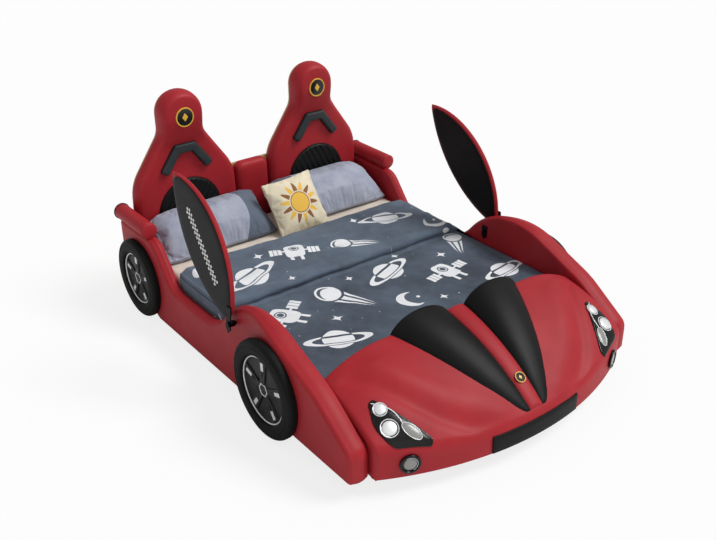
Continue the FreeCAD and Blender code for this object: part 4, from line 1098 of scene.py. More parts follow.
@dataclass
class Repeat:
    """A Geometry Nodes tree that repeats a small shape, and the plain mesh it leaves."""

    layout: Layout
    count: int = 1
    shift: tuple[float, float, float] = (0.0, 0.0, 0.0)
    turn: tuple[float, float, float] = (0.0, 0.0, 0.0)
    pitch: float = 0.01
    thread: float = 0.0015

    def tree(self, name: str) -> Tree:
        """The tree, with its sizes as named inputs."""
        tree = bpy.data.node_groups.new(name, "GeometryNodeTree")
        wanted = [("Geometry", "NodeSocketGeometry"), ("Material", "NodeSocketMaterial")]
        if self.layout is Layout.STEPS:
            wanted += [
                ("Count", "NodeSocketInt"),
                ("Shift", "NodeSocketVector"),
                ("Turn", "NodeSocketVector"),
            ]
        else:
            wanted += [("Pitch", "NodeSocketFloat"), ("Thread", "NodeSocketFloat")]
        for socket, kind in wanted:
            tree.interface.new_socket(socket, in_out="INPUT", socket_type=kind)
        tree.interface.new_socket("Geometry", in_out="OUTPUT", socket_type="NodeSocketGeometry")
        given = add(tree, "NodeGroupInput").outputs
        placed = self.steps(tree, given) if self.layout is Layout.STEPS else self.seam(tree, given)
        real = add(tree, "GeometryNodeRealizeInstances", {"Geometry": placed})
        dressed = add(
            tree,
            "GeometryNodeSetMaterial",
            {"Geometry": real.outputs[0], "Material": given["Material"]},
        )
        add(tree, "NodeGroupOutput", {"Geometry": dressed.outputs[0]})
        return tree

    def steps(self, tree: Tree, given: Any) -> Any:
        """Copies on points that follow one another by a step and a turn."""
        index = add(tree, "GeometryNodeInputIndex").outputs[0]
        spot = add(
            tree, "ShaderNodeVectorMath", {0: given["Shift"], "Scale": index}, operation="SCALE"
        )
        angle = add(
            tree, "ShaderNodeVectorMath", {0: given["Turn"], "Scale": index}, operation="SCALE"
        )
        turned_by = add(tree, "FunctionNodeEulerToRotation", {0: angle.outputs[0]})
        points = add(
            tree, "GeometryNodePoints", {"Count": given["Count"], "Position": spot.outputs[0]}
        )
        return self.copies(tree, points.outputs[0], given["Geometry"], turned_by.outputs[0])

    def seam(self, tree: Tree, given: Any) -> Any:
        """Stitches of thread along the lines of a mesh."""
        line = add(tree, "GeometryNodeMeshToCurve", {"Mesh": given["Geometry"]})
        even = add(
            tree,
            "GeometryNodeResampleCurve",
            {"Curve": line.outputs[0], "Length": given["Pitch"]},
            mode="LENGTH",
        )
        along = add(tree, "GeometryNodeInputTangent")
        turned_by = add(
            tree, "FunctionNodeAlignRotationToVector", {"Vector": along.outputs[0]}, axis="Z"
        )
        long = add(tree, "ShaderNodeMath", {0: given["Pitch"], 1: 0.62}, operation="MULTIPLY")
        form = {"Vertices": 6, "Radius": given["Thread"], "Depth": long.outputs[0]}
        stitch = add(tree, "GeometryNodeMeshCylinder", form)
        return self.copies(tree, even.outputs[0], stitch.outputs[0], turned_by.outputs[0])

    def copies(self, tree: Tree, points: Any, form: Any, turn: Any) -> Any:
        """A form on every point, turned there."""
        inputs = {"Points": points, "Instance": form, "Rotation": turn}
        return add(tree, "GeometryNodeInstanceOnPoints", inputs).outputs[0]

    def apply(self, piece: bpy.types.Object, finish: Finish) -> bpy.types.Object:
        """Repeats a piece's mesh and keeps the result as its own.

        Args:
            piece: the object whose mesh is repeated, or is the line to follow.
            finish: the finish of the copies.

        Returns:
            The same object, with no modifier left.
        """
        modifier = piece.modifiers.new("repeat", "NODES")
        modifier.node_group = self.tree(f"{self.layout.value}_of_{piece.name}")
        values = {
            "Material": finish.material(),
            "Count": self.count,
            "Shift": self.shift,
            "Turn": self.turn,
        }
        values |= {"Pitch": self.pitch, "Thread": self.thread}
        for item in modifier.node_group.interface.items_tree:
            if item.in_out == "INPUT" and item.name in values:
                modifier[item.identifier] = values[item.name]
        piece.update_tag()
        shown = piece.evaluated_get(bpy.context.evaluated_depsgraph_get())
        mesh = bpy.data.meshes.new_from_object(shown)
        piece.modifiers.clear()
        piece.data = mesh
        mesh.materials.clear()
        mesh.materials.append(finish.material())
        mesh.polygons.foreach_set("material_index", [0] * len(mesh.polygons))
        return piece


def seam_line(name: str, paths: Sequence[Points], finish: Finish, pitch: float) -> bpy.types.Object:
    """Stitching along lines.

    Args:
        name: the piece's name.
        paths: the lines, in drawn millimetres.
        finish: the thread's finish.
        pitch: one stitch and its gap, mm.

    Returns:
        The piece.
    """
    mesh = bpy.data.meshes.new(name)
    points = np.vstack(paths)
    edges: list[tuple[int, int]] = []
    start = 0
    for path in paths:
        edges += [(start + i, start + i + 1) for i in range(len(path) - 1)]
        start += len(path)
    mesh.from_pydata(to_frame(points).tolist(), edges, [])
    piece = linked(name, mesh)
    return Repeat(Layout.SEAM, pitch=pitch / 1000, thread=0.0011).apply(piece, finish)


@dataclass
class SubAssembly:
    """Base of the bed's groups of pieces."""

    body: str = "bed"
    made: list[bpy.types.Object] = field(default_factory=list)

    def build(self) -> None:
        """Builds the group's pieces; each group has its own."""
        raise NotImplementedError

    def keep(
        self,
        piece: bpy.types.Object,
        finish: Finish,
        replaces: Sequence[str] = (),
        fill: float | None = None,
        body: str | None = None,
    ) -> bpy.types.Object:
        """Attaches a finished piece to its body, hides the CAD nodes it stands for and lists it
        among the group's pieces.

        Args:
            piece: the object.
            finish: its finish; not used.
            replaces: the CAD nodes it stands for.
            fill: how full it is, if it is padded; not used.
            body: the body it moves with, if not the group's own.

        Returns:
            The same object.
        """
        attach(piece, body or self.body)
        if replaces:
            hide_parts(*replaces)
        self.made.append(piece)
        LOG.info("%s: %d faces", piece.name, len(piece.data.polygons))
        return piece

    def single(
        self,
        name: str,
        shape: Shape,
        finish: Finish,
        nodes: Sequence[str] = (),
        fill: float | None = None,
    ) -> None:
        """One piece, on the middle plane or on both sides at once.

        Args:
            name: its name.
            shape: its shape.
            finish: its finish.
            nodes: the CAD nodes that it stands for.
            fill: how full it is, if padded.
        """
        self.keep(mesh_object(name, shape, finish), finish, nodes, fill)

    def pair(
        self,
        name: str,
        shape: Shape,
        finish: Finish,
        nodes: Sequence[str] = (),
        fill: float | None = None,
        door: bool = False,
        crisp: float = 50.0,
    ) -> None:
        """A right-hand piece and its mirror image.

        Args:
            name: the pair's name, which gets the side's name.
            shape: the right-hand shape.
            finish: the finish of both.
            nodes: the CAD nodes that they stand for, without their sides.
            fill: how full they are, if padded.
            door: whether they move with the doors.
            crisp: edges that turn by more degrees than this stay sharp.
        """
        for side in Side:
            piece = mesh_object(f"{name}_{side.value}", shape.on(side), finish, crisp)
            body = f"door_{side.value}" if door else None
            self.keep(piece, finish, [f"{node}_{side.value}" for node in nodes], fill, body)


@dataclass
class SideCovers(SubAssembly):
    """The two upholstered side panels with their fenders, and the rolls on their haunches."""

    swell: float = 40.0
    swell_ends: tuple[float, float] = (500.0, 900.0)
    front_round: float = 22.0
    inner_round: float = 12.0
    corners: Corners = (
        (0.0, 0.0, 18.0),
        (0.0, 150.0, 60.0),
        (240.0, 312.0, 500.0),
        (832.0, 549.0, 440.0),
        (1130.0, 195.0, 280.0),
        (1586.0, 195.0, 150.0),
        (1768.0, HAUNCH_TOP, 120.0),
        (LENGTH, HAUNCH_TOP, 18.0),
        (LENGTH, 0.0, 18.0),
        (1892.0, 0.0, 60.0),
        (1782.0, -57.0, 60.0),
        (744.0, -57.0, 60.0),
        (634.0, 0.0, 60.0),
    )
    roll_radius: float = 43.0
    roll_axis: tuple[float, float] = (800.0, 454.8)
    roll_span: tuple[float, float] = (1812.0, LENGTH)

    def outer_face(self, y: Points) -> Points:
        """X of the outer face at a place along the panel."""
        return OUTER + self.swell * (1.0 - smooth_step(y, *self.swell_ends))

    def build(self) -> None:
        """Builds the covers and the rolls."""
        outline = rounded(self.corners, 15.0)
        cover = plate(
            outline,
            standing,
            lambda u, v, d: self.outer_face(u) + 3.0 * smooth_step(d, 0.0, 70.0),
            flat_at(INNER),
            Padding(self.front_round, self.inner_round, 20.0, crown=6.0),
        )
        self.pair("side_cover", cover, Book.RED, ("side_panel", "fender_pad"), 0.95)
        self.rolls()

    def rolls(self) -> None:
        """Round bolsters, gathered at the front end into a domed cap with a seam round it."""
        start, stop = self.roll_span
        radius = self.roll_radius
        body = [(radius - 12, 0.3), (radius - 4.5, 1.6), (radius - 1, 6.0), (radius, 14.0)]
        body += [(radius, y) for y in np.linspace(40, stop - start - 26, 12)]
        body += [
            (radius - 1, stop - start - 12),
            (radius - 5, stop - start - 3),
            (radius - 12, stop - start),
        ]
        x, z = self.roll_axis
        roll = turned(body, (x, start + 14.3, z), (0, 1, 0), 72)
        roll.points[:, 1] = np.minimum(roll.points[:, 1], stop)
        cap = [(radius - 14, 13.9), (radius - 4, 12.6), (radius - 0.5, 8.5), (radius + 0.5, 5.0)]
        cap += rounding((0.0, 5.0), (radius + 0.5, -12.0), (0.15, 1.5, 12))
        front = turned(cap, (x, start, z), (0, 1, 0), 72)
        angle = np.arctan2(front.points[:, 2] - z, front.points[:, 0] - x)
        reach = np.hypot(front.points[:, 2] - z, front.points[:, 0] - x)
        front.points[:, 1] += (
            1.1 * np.sin(angle * 18) * smooth_step(reach, 14.0, radius) * (reach < radius - 1)
        )
        for shape in (roll, front):
            shape.points[:, 2] = np.maximum(shape.points[:, 2], HAUNCH_TOP + GAP)
        self.pair("armrest_roll_cover", roll, Book.RED, ("armrest_roll",), 0.95)
        self.single(
            "armrest_roll_domes", front.plus(front.mirrored()), Book.RED, ("roll_end_caps",), 0.95
        )
        turns, reach = angles_round(48), radius + 0.2
        ring = np.column_stack(
            [x + reach * np.cos(turns), np.full(48, stop - 4.0), z + reach * np.sin(turns)]
        )
        ring[:, 2] = np.maximum(ring[:, 2], HAUNCH_TOP + 3.0)
        self.pair("roll_piping", tube(ring, 3.2, 8, closed=True), Book.BLACK)


@dataclass(frozen=True)
class Station:
    """One wheel's place on the right-hand side."""

    name: str
    face: float  # the panel's outer face there
    y: float
    radius: float


@dataclass
class Wheels(SubAssembly):
    """Padded tyre discs with moulded five-spoke covers."""

    thick: float = 45.0
    floor_gap: float = 3.0
    wall: float = 73.0
    depth: float = 12.0
    spokes: int = 5
    hub: float = 34.0
    recess: float = 27.0  # how far the cover's back lies below the tyre's wall
    stations: tuple[Station, ...] = (
        Station("front", OUTER + 40.0, 594.0, 238.0),
        Station("rear", OUTER, 1932.0, 218.0),
    )

    def build(self) -> None:
        """Builds the tyres, their covers and the bright rings."""
        for station in self.stations:
            height = station.radius + self.floor_gap - DRAWN_Z0
            centre = np.array([station.face + GAP, station.y, height])
            tyre = self.tyre(station.radius)
            tyre.points += centre
            self.pair(
                f"tyre_cover_{station.name}", tyre, Book.TYRE, (f"tyre_{station.name}",), 0.95
            )
            rim = station.radius - self.wall
            front = centre + np.array([self.thick - self.recess, 0.0, 0.0])
            dish = self.dish(rim)
            dish.points += front
            self.pair(
                f"wheel_dish_{station.name}", dish, Book.COVER, (f"wheel_cover_{station.name}",)
            )
            turns, reach = angles_round(120), rim - 5.0
            circle = np.column_stack(
                [np.full(120, self.depth), np.cos(turns) * reach, np.sin(turns) * reach]
            )
            ring = tube(circle + front, 3.8, 10, closed=True)
            name = f"wheel_ring_{station.name}"
            self.single(name, ring.plus(ring.mirrored()), Book.SILVER, ("wheel_trim_rings",))
            for name, shape, finish in (
                ("spokes", self.spoke(rim), Book.COVER),
                ("accents", self.accent(rim), Book.SILVER),
                ("hub_hexagon", self.hexagon_side(), Book.SILVER),
            ):
                count = HEXAGON if name == "hub_hexagon" else self.spokes
                self.around(f"wheel_{name}_{station.name}", shape, finish, front, count)

    def around(self, name: str, shape: Shape, finish: Finish, centre: Points, count: int) -> None:
        """Repeats a shape round a wheel's axis, for the right-hand wheel and its mirror image.

        Args:
            name: the pieces' name, which gets the side's name.
            shape: one of the repeated shapes, about the axis.
            finish: its finish.
            centre: the axis's foot on the right-hand side.
            count: how many times it is repeated.
        """
        for side in Side:
            piece = mesh_object(f"{name}_{side.value}", shape.on(side).local(), finish, 35.0)
            Repeat(Layout.STEPS, count, turn=(2 * math.pi / count, 0.0, 0.0)).apply(piece, finish)
            piece.data.transform(
                Matrix.Translation(to_frame(centre * np.array([side.flip, 1.0, 1.0])))
            )
            self.keep(piece, finish)

    def tyre(self, radius: float) -> Shape:
        """A tyre's disc with a round shoulder and two sewn rings on its wall."""
        t = self.thick
        rim = radius - self.wall
        profile = [(radius - 6, 0.0), (radius - 1.5, 2.0), (radius, 8.0), (radius, t - 22.0)]
        profile += rounding((radius - 22, t - 22), (22, 22), (0.2, math.pi / 2, 9))
        profile += [
            (radius - 27, t + 0.5),
            (radius - 29, t - 1.2),
            (radius - 31, t + 0.5),
            (radius - 40, t + 1.0),
        ]
        profile += [
            (rim + 12, t + 0.2), (rim + 6, t - 1.6), (rim + 2.5, t - 5.0), (rim + 0.8, t - 10.0)
        ]
        profile += [(reach, t - self.recess) for reach in (rim + 0.6, rim - 20, 30.0)]
        return turned(profile, (0, 0, 0), (1, 0, 0), 120)

    def dish(self, rim: float) -> Shape:
        """The cover's rim and its sunk floor."""
        d = self.depth
        profile = [
            (rim - 1, 0.2),
            (rim, 1.0),
            (rim, d - 1.2),
            (rim - 0.8, d - 0.2),
            (rim - 7.5, d - 0.2),
            (rim - 8.5, d - 1.4),
        ]
        profile += [
            (rim - 13, 3.6),
            (rim - 20, 2.2),
            (rim * 0.6, 2.0),
            (52.0, 2.6),
            (44.0, 6.0),
            (40.0, 8.6),
            (22.0, 9.2),
            (6.0, 9.4),
        ]
        return turned(profile, (0, 0, 0), (1, 0, 0), 120)

    def spoke(self, rim: float) -> Shape:
        """One spoke: two ribs side by side that run into one at the hub."""
        d = self.depth
        rows = []
        for share in np.linspace(0.0, 1.0, 14):
            r = 30.0 + (rim - 12.0 - 30.0) * share
            half = 13.0 + 15.0 * share**1.3
            groove = 3.2 * smooth_step(np.array([share]), 0.12, 0.4)[0]
            across = np.array([-1.0, -0.93, -0.78, -0.35, -0.16, 0.0, 0.16, 0.35, 0.78, 0.93, 1.0])
            top = (
                d - 1.6 - np.array([2.6, 0.7, 0.0, 0.0, groove, groove, groove, 0.0, 0.0, 0.7, 2.6])
            )
            top = top - 1.8 * math.sin(math.pi * share)
            front = np.column_stack([top, across * half, np.full(11, r)])
            back = np.column_stack([np.full(11, 1.0), across[::-1] * half * 1.1, np.full(11, r)])
            rows.append(np.vstack([front, back]))
        return sheet_of(np.array(rows), around=True, caps=True)

    def accent(self, rim: float) -> Shape:
        """The bright block near a spoke's outer end."""
        low, high = rim * 0.60, rim * 0.86
        outline = rounded(
            [(-9.0, low, 3.0), (9.0, low, 3.0), (10.5, high, 3.0), (-10.5, high, 3.0)], 4.0
        )
        top = self.depth - 0.4
        return plate(outline, standing, flat_at(top), flat_at(top - 4.0), Padding(1.6, 0.0, 6.0, 3))

    def hexagon_side(self) -> Shape:
        """One bright side of the hexagon round the hub."""
        apothem = self.hub * math.cos(math.pi / 6)
        half = self.hub * math.sin(math.pi / 6)
        low = apothem - 4.5
        corners = [
            (-half + 2.0, low, 0.0),
            (half - 2.0, low, 0.0),
            (half, apothem, 0.0),
            (-half, apothem, 0.0),
        ]
        return plate(
            rounded(corners, 6.0), standing, flat_at(11.4), flat_at(8.0), Padding(1.0, 0.0, 8.0, 2)
        )


@dataclass
class Seats(SubAssembly):
    """Two bucket-seat backs with their trims, and the bridge between them."""

    centre: float = 431.0
    corners: Corners = (
        (126.0, 1078.0, 122.0),
        (126.0, 848.0, 110.0),
        (306.0, 590.0, 240.0),
        (326.0, 60.0, 18.0),
    )
    depth: float = 75.0
    head_swell: float = 35.0
    head_rise: tuple[float, float] = (755.0, 950.0)
    chevron: Corners = (
        (60.0, 788.0, 6.0),
        (158.0, 655.0, 12.0),
        (120.0, 627.0, 12.0),
        (38.0, 740.0, 6.0),
    )
    insert_z: float = 395.0
    insert_radius: float = 190.0
    insert_bottom: float = 300.0
    rib_pitch: float = 34.0
    rib_lean: float = 28.0
    badge_z: float = 945.0
    badge_radius: float = 54.0

    def outline(self, inset: float = 0.0) -> Points:
        """Outline of the right-hand seat in (X, Z)."""
        right = [
            (x - inset, z - (inset if z > 1000 else -inset if z < 100 else 0.0), r)
            for x, z, r in self.corners
        ]
        left = [(-x, z, radius) for x, z, radius in reversed(right)]
        return rounded([(self.centre + x, z, radius) for x, z, radius in right + left], 14.0)

    def face(self, u: Points, v: Points, d: Points) -> Points:
        """Thickness of the padding: fuller away from its edges, swelling forward at the head."""
        head = self.head_swell * smooth_step(v, *self.head_rise)
        edge = smooth_step(d, 0.0, 60.0)
        across = np.abs(u - self.centre)
        hollow = 6.0 * np.exp(-np.square(across / 150.0)) * smooth_step(v, 560.0, 640.0) * (
            1 - smooth_step(v, 780.0, 860.0)
        )
        return self.depth - 2.0 + head * smooth_step(d, -30.0, 26.0) + 4.0 * edge - hollow * edge

    def build(self) -> None:
        """Builds the seats, their trims and the bridge."""
        upright = facing(SEAT_FRONT + self.depth)
        pad = plate(
            self.outline(),
            upright,
            self.face,
            flat_at(0.0),
            Padding(30.0, 10.0, 18.0, 7, crown=3.0),
        )
        self.pair("seat_cover", pad, Book.RED, ("seat_pad",), 0.95)
        half, top = 104.7, 578.0
        bridge = plate(
            rounded(
                [(half, top, 45.0), (half, 60.0, 10.0), (-half, 60.0, 10.0), (-half, top, 45.0)],
                12.0,
            ),
            upright,
            lambda u, v, d: self.depth - 12.0 + 5.0 * smooth_step(d, 0.0, 60.0),
            flat_at(0.0),
            Padding(26.0, 10.0, 18.0, crown=3.0),
        )
        self.single("bridge_cover", bridge, Book.RED, ("bridge_pad",), 0.95)
        self.insert()
        self.grip()
        self.badge()

    def insert(self) -> None:
        """Black half-round panel with slanted sewn channels, each puffed up between its seams."""
        r, low, middle = self.insert_radius, self.insert_bottom, self.insert_z
        last = math.acos((middle - low) / r)
        angles = np.linspace(-math.pi / 2 + last, 1.5 * math.pi - last, 72)
        arc = np.column_stack([self.centre + r * np.cos(angles), middle + r * np.sin(angles)])
        floor = np.linspace(arc[-1], arc[0], 24)[1:-1]
        lean = math.radians(self.rib_lean)

        def channels(u: Points, v: Points, d: Points) -> Points:
            """Depth of the puffed channels."""
            across = (u - self.centre) * math.cos(lean) + (v - middle) * math.sin(lean)
            phase = np.abs(np.mod(across / self.rib_pitch, 1.0) - 0.5) * 2
            puff = np.power(np.maximum(1 - phase**3.0, 0.0), 0.6)
            return 10.0 + 7.5 * puff * smooth_step(d, 0.0, 10.0)

        shape = plate(
            anticlockwise(np.vstack([arc, floor])),
            facing(SEAT_FRONT - GAP),
            channels,
            flat_at(-1.5),
            Padding(7.0, 0.0, 5.5, 4),
        )
        self.pair("insert_cover", shape, Book.RIBBED, ("seat_insert",), 0.9, crisp=70.0)
        rim = np.column_stack([arc[:, 0], np.full(len(arc), SEAT_FRONT - 5.0), arc[:, 1]])
        self.pair("insert_piping", tube(rim, 3.4, 8), Book.BLACK)

    def grip(self) -> None:
        """Bent grip pad below the head, on a thin black plate that shows as a dark outline round it.
        """
        points = list(self.chevron)
        points += [(-x, z, r) for x, z, r in reversed(points)]
        outline = rounded([(self.centre + x, z, r) for x, z, r in points], 6.0)
        for name, line, base, thick, finish, nodes in (
            ("grip_cover", outline, -2.0, 22.0, Book.CHARCOAL, ("seat_chevron",)),
            # a black plate 3.2 mm wider behind the pad, which shows as a dark outline round it
            ("grip_black_outline", outline - inward_of(outline) * 3.2, -3.0, 4.0, Book.BLACK, ()),
        ):
            shape = plate(
                line,
                facing(SEAT_FRONT),
                lambda u, v, d, thick=thick: thick + 1.5 * smooth_step(d, 0.0, 18.0),
                flat_at(base),
                Padding(8.0 if nodes else 2.0, 0.0, 8.0, 5),
            )
            self.pair(name, shape, finish, nodes, 0.95 if nodes else None)

    def badge(self) -> None:
        """Plain black roundel with a yellow rim and a small yellow lozenge."""
        front = SEAT_FRONT - self.head_swell - 2.0
        x, z, r = self.centre, self.badge_z, self.badge_radius
        centre = (x, front, z)
        disc = [(r - 5, -2.0), (r - 4.5, 3.0), (r - 10, 3.6), (20.0, 4.2), (2.0, 4.4)]
        self.pair("seat_roundel", turned(disc, centre, (0, -1, 0)), Book.BADGE, ("seat_badge",))
        rim = [
            (r - 1, -2.0), (r, 1.0), (r - 1.5, 4.4), (r - 5.0, 5.0), (r - 7.5, 4.2), (r - 8.0, 1.0)
        ]
        self.pair("seat_roundel_rim", turned(rim, centre, (0, -1, 0)), Book.YELLOW)
        corners = rounded([(x + 17, z, 3), (x, z + 24, 3), (x - 17, z, 3), (x, z - 24, 3)], 5.0)
        lozenge = plate(
            corners, facing(front), flat_at(6.0), flat_at(3.0), Padding(1.2, 0.0, 8.0, 3)
        )
        self.pair("seat_roundel_lozenge", lozenge, Book.YELLOW)


@dataclass
class Bonnet(SubAssembly):
    """The padded bonnet between the side panels: two black wedges, a spine and a nose band."""

    half: float = 759.7
    reach: float = 228.0
    setback: float = 190.0
    bottom: float = 12.0
    nose_mid: float = 114.0
    nose_side: float = 165.0
    rear: float = 335.0
    rear_z: float = 390.0
    shoulder: tuple[float, float] = (450.0, 92.0)
    swells: tuple[float, float] = (46.0, 26.0)
    nose_round: float = 34.0
    wall: float = 25.0
    side_round: float = 16.0
    rear_round: float = 12.0
    # at the tip, and how much more at the rear end
    wedge_inner: tuple[float, float] = (38.0, 14.0)
    wedge_outer: tuple[float, float] = (56.0, 328.0)
    wedge_height: tuple[float, float] = (4.0, 70.0)
    spine_half: tuple[float, float] = (36.0, 14.0)
    spine_height: float = 12.0
    bowls: Corners = ((653.0, 66.0, 31.0), (662.0, -8.0, 40.0))  # place in plan and radius
    lens_at: tuple[float, float] = (586.0, -58.0)
    lens_axes: tuple[float, float] = (21.0, 43.0)
    lens_turn: float = 33.0
    fog_inset: float = 132.7
    fog_z: float = 78.0
    fog_radius: float = 46.0
    crease: tuple[tuple[float, float], ...] = (
        (690.0, 262.0),
        (645.0, 207.0),
        (600.0, 143.0),
        (560.0, 79.0),
        (514.0, 12.0),
        (443.0, -76.0),
        (353.0, -146.0),
        (270.0, -201.0),
    )

    def nose_line(self, x: Points) -> Points:
        """Y of the nose face."""
        radius = (self.half**2 + self.setback**2) / (2 * self.setback)
        return radius - self.reach - np.sqrt(radius**2 - np.square(x))

    def nose_top(self, x: Points) -> Points:
        """Height at which the nose face turns back."""
        return self.nose_mid + (self.nose_side - self.nose_mid) * np.square(x / self.half)

    def rear_top(self, x: Points) -> Points:
        """Height of the rear edge."""
        start, drop = self.shoulder
        return (
            self.rear_z - drop * np.square(np.maximum(0.0, np.abs(x) - start) / (self.half - start))
        )

    def nose_at(self, x: float) -> float:
        """Y of the nose face at one X."""
        return float(self.nose_line(np.array([x]))[0])

    def skin_at(self, x: float, y: float) -> float:
        """Height of the skin over one place of the plan."""
        return float(self.skin(np.array([x]), np.array([y]))[0])

    def arc(self, x: Points) -> tuple[Points, Points, Points, Points]:
        """Circle of the long arc at X: its centre's Y and Z, its radius, its slope at the nose."""
        swell = self.swells[0] + (self.swells[1] - self.swells[0]) * np.square(x / self.half)
        front_y, front_z = self.nose_line(x), self.nose_top(x)
        run, rise = self.rear - front_y, self.rear_top(x) - front_z
        chord = np.hypot(run, rise)
        radius = (np.square(chord) / 4 + np.square(swell)) / (2 * swell)
        slope = np.arctan2(rise, run)
        y = (front_y + self.rear) / 2 - np.sin(slope) * (swell - radius)
        z = (front_z + self.rear_top(x)) / 2 + np.cos(slope) * (swell - radius)
        return y, z, radius, slope + 2 * np.arctan(2 * swell / chord)

    def height(self, x: Points, y: Points) -> Points:
        """Height of the bonnet's skin over a place of the plan."""
        centre_y, centre_z, radius, _ = self.arc(x)
        return centre_z + np.sqrt(np.maximum(np.square(radius) - np.square(y - centre_y), 0.0))

    def lift(self, x: Points, y: Points) -> Points:
        """How far the padding stands out of the skin: a valley on the crease, a roll beside it."""
        plan = np.column_stack([np.abs(x), y])
        line = np.array(self.crease)
        away = distance_to(plan, line, closed=False)
        ahead = np.interp(plan[:, 1], line[::-1, 1], line[::-1, 0])
        toward_middle = plan[:, 0] < ahead
        valley = -12.0 * np.exp(-np.square(away / np.where(toward_middle, 42.0, 26.0)))
        roll = 9.0 * np.exp(-np.square((away - 95.0) / 55.0)) * toward_middle
        fade = smooth_step(y, -225.0, -150.0) * (1.0 - smooth_step(y, 230.0, 300.0))
        return (valley + roll) * fade

    def section(self, x: float) -> Points:
        """Outer and inner line of the bonnet's padding at one X, as two runs of equal length."""
        here = np.array([x])
        y0, z0 = float(self.nose_line(here)[0]), float(self.nose_top(here)[0])
        cy, cz, radius, slope = (float(value[0]) for value in self.arc(here))
        turn = math.pi / 2 - slope
        along = np.array([math.cos(slope), math.sin(slope)])
        round_radius = self.nose_round / math.tan(turn / 2)
        start = np.array([y0, z0 - self.nose_round])
        centre = start + np.array([round_radius, 0.0])
        face = [np.array([y0, z]) for z in np.linspace(self.bottom, start[1], 9)[:-1]]
        bend = [
            centre + round_radius * np.array([-math.cos(a), math.sin(a)])
            for a in np.linspace(0, turn, 11)[:-1]
        ]
        over = np.array([y0, z0]) + along * self.nose_round
        first = math.atan2(over[1] - cz, over[0] - cy)
        last = math.atan2(float(self.rear_top(here)[0]) - cz, self.rear - cy)
        skin = [
            np.array([cy + radius * math.cos(a), cz + radius * math.sin(a)])
            for a in np.linspace(first, last, 64)
        ]
        return np.array(face + bend + skin)

    def build(self) -> None:
        """Builds the bonnet's pieces."""
        self.cover()
        self.side_returns()
        self.wedges()
        self.band()
        self.roundel()
        self.headlamps()
        self.fog_lamps()

    def skin(self, x: Points, y: Points) -> Points:
        """Height of the skin over the plan, with the rounding at the nose."""
        x, y = np.broadcast_arrays(np.asarray(x, float), np.asarray(y, float))
        _, _, _, slope = self.arc(x)
        bend = self.nose_round / np.tan((math.pi / 2 - slope) / 2)
        ahead = np.clip(bend - (y - self.nose_line(x)), 0.0, bend)
        curve = self.nose_top(x) - self.nose_round + np.sqrt(np.maximum(bend**2 - ahead**2, 0.0))
        over = self.nose_round * np.cos(slope)
        return np.where(y - self.nose_line(x) < over, curve, self.height(x, y)) + self.lift(
            x.ravel(), y.ravel()
        ).reshape(x.shape)

    def on_skin(self, x: Points, y: Points, out: Points | float) -> Points:
        """Points that stand out of the skin, square to it, over places of the plan."""
        step = 2.0
        here = np.column_stack([x, y, self.skin(x, y)])
        to_side = np.column_stack(
            [np.full_like(x, step), 0 * x, self.skin(x + step, y) - here[:, 2]]
        )
        to_rear = np.column_stack(
            [0 * x, np.full_like(x, step), self.skin(x, y + step) - here[:, 2]]
        )
        normal = np.cross(to_side, to_rear)
        normal /= np.linalg.norm(normal, axis=1)[:, None]
        return here + normal * np.broadcast_to(np.asarray(out, float), x.shape)[:, None]

    def side_returns(self) -> None:
        """Red returns at both sides of the nose, which close the groove beside the side panels."""
        line = self.section(self.half - 14.0)
        line = line[line[:, 0] < 120.0]
        outline = anticlockwise(np.vstack([line - np.array([-9.0, 6.0]), [[120.0, self.bottom]]]))
        shape = plate(
            outline,
            standing,
            flat_at(self.half - 4.0),
            flat_at(self.half - 16.0),
            Padding(2.0, 2.0, 24.0, 2),
        )
        self.pair("bonnet_return", shape, Book.RED, (), 0.95)

    def band(self) -> None:
        """The black band round the middle of the nose, its ends cut upright."""
        end, low, high = 262.0, self.bottom + 1, self.nose_mid - self.nose_round / 2 + 2.0
        outline = rounded(
            [(-end, low, 5.0), (end, low, 5.0), (end, high, 5.0), (-end, high, 5.0)], 10.0
        )

        def place(u: Points, v: Points, w: Points) -> Points:
            """Round the nose: out of its face, and back over its rounding."""
            slope = self.arc(u)[3]
            bend = self.nose_round / np.tan((math.pi / 2 - slope) / 2)
            rise = np.clip(v - (self.nose_top(u) - self.nose_round), 0.0, bend)
            back = bend - np.sqrt(np.maximum(bend**2 - rise**2, 0.0))
            lean = rise / bend
            run = self.nose_line(u + 1.0) - self.nose_line(u - 1.0)
            sideways = run / np.hypot(run, 2.0)
            ahead = np.sqrt(1 - sideways**2)
            flat = np.sqrt(1 - lean**2)
            y = self.nose_line(u) + back - w * ahead * flat
            return np.column_stack([u + w * sideways * flat, y, v + w * lean])

        shape = plate(
            outline,
            place,
            lambda u, v, d: 6.4 + 1.6 * smooth_step(d, 0.0, 20.0),
            flat_at(-1.0),
            Padding(4.0, 0.0, 12.0, 4),
        )
        self.single("bumper_cover", shape, Book.BLACK, ("bumper_band",), 0.95)

    def roundel(self) -> None:
        """The small badge on the spine: the carried-over disc with a yellow rim and lozenge."""
        y, radius = -95.0, 27.0
        here = np.array([0.0, y, self.skin_at(0.0, y) + 12.0])
        rise = (self.skin_at(0.0, y + radius) - self.skin_at(0.0, y - radius)) / (2 * radius)
        up = np.array([0.0, -rise, 1.0]) / math.hypot(rise, 1.0)
        rim = [(26.6, 1.0), (27.2, 2.6), (26.0, 5.0), (24.0, 5.6), (22.4, 4.8), (22.0, 2.0)]
        self.single("bonnet_roundel_rim", turned(rim, here, up, 64), Book.YELLOW)
        along = np.cross(np.array([1.0, 0.0, 0.0]), up)
        lozenge = plate(
            rounded([(8.0, 0.0, 1.5), (0.0, 12.0, 1.5), (-8.0, 0.0, 1.5), (0.0, -12.0, 1.5)], 3.0),
            lambda u, v, w: here + np.outer(
                u, [1.0, 0.0, 0.0]
            ) - np.outer(v, along) + np.outer(w, up),
            flat_at(5.2),
            flat_at(3.0),
            Padding(0.8, 0.0, 4.0, 2),
        )
        self.single("bonnet_roundel_lozenge", lozenge, Book.YELLOW)

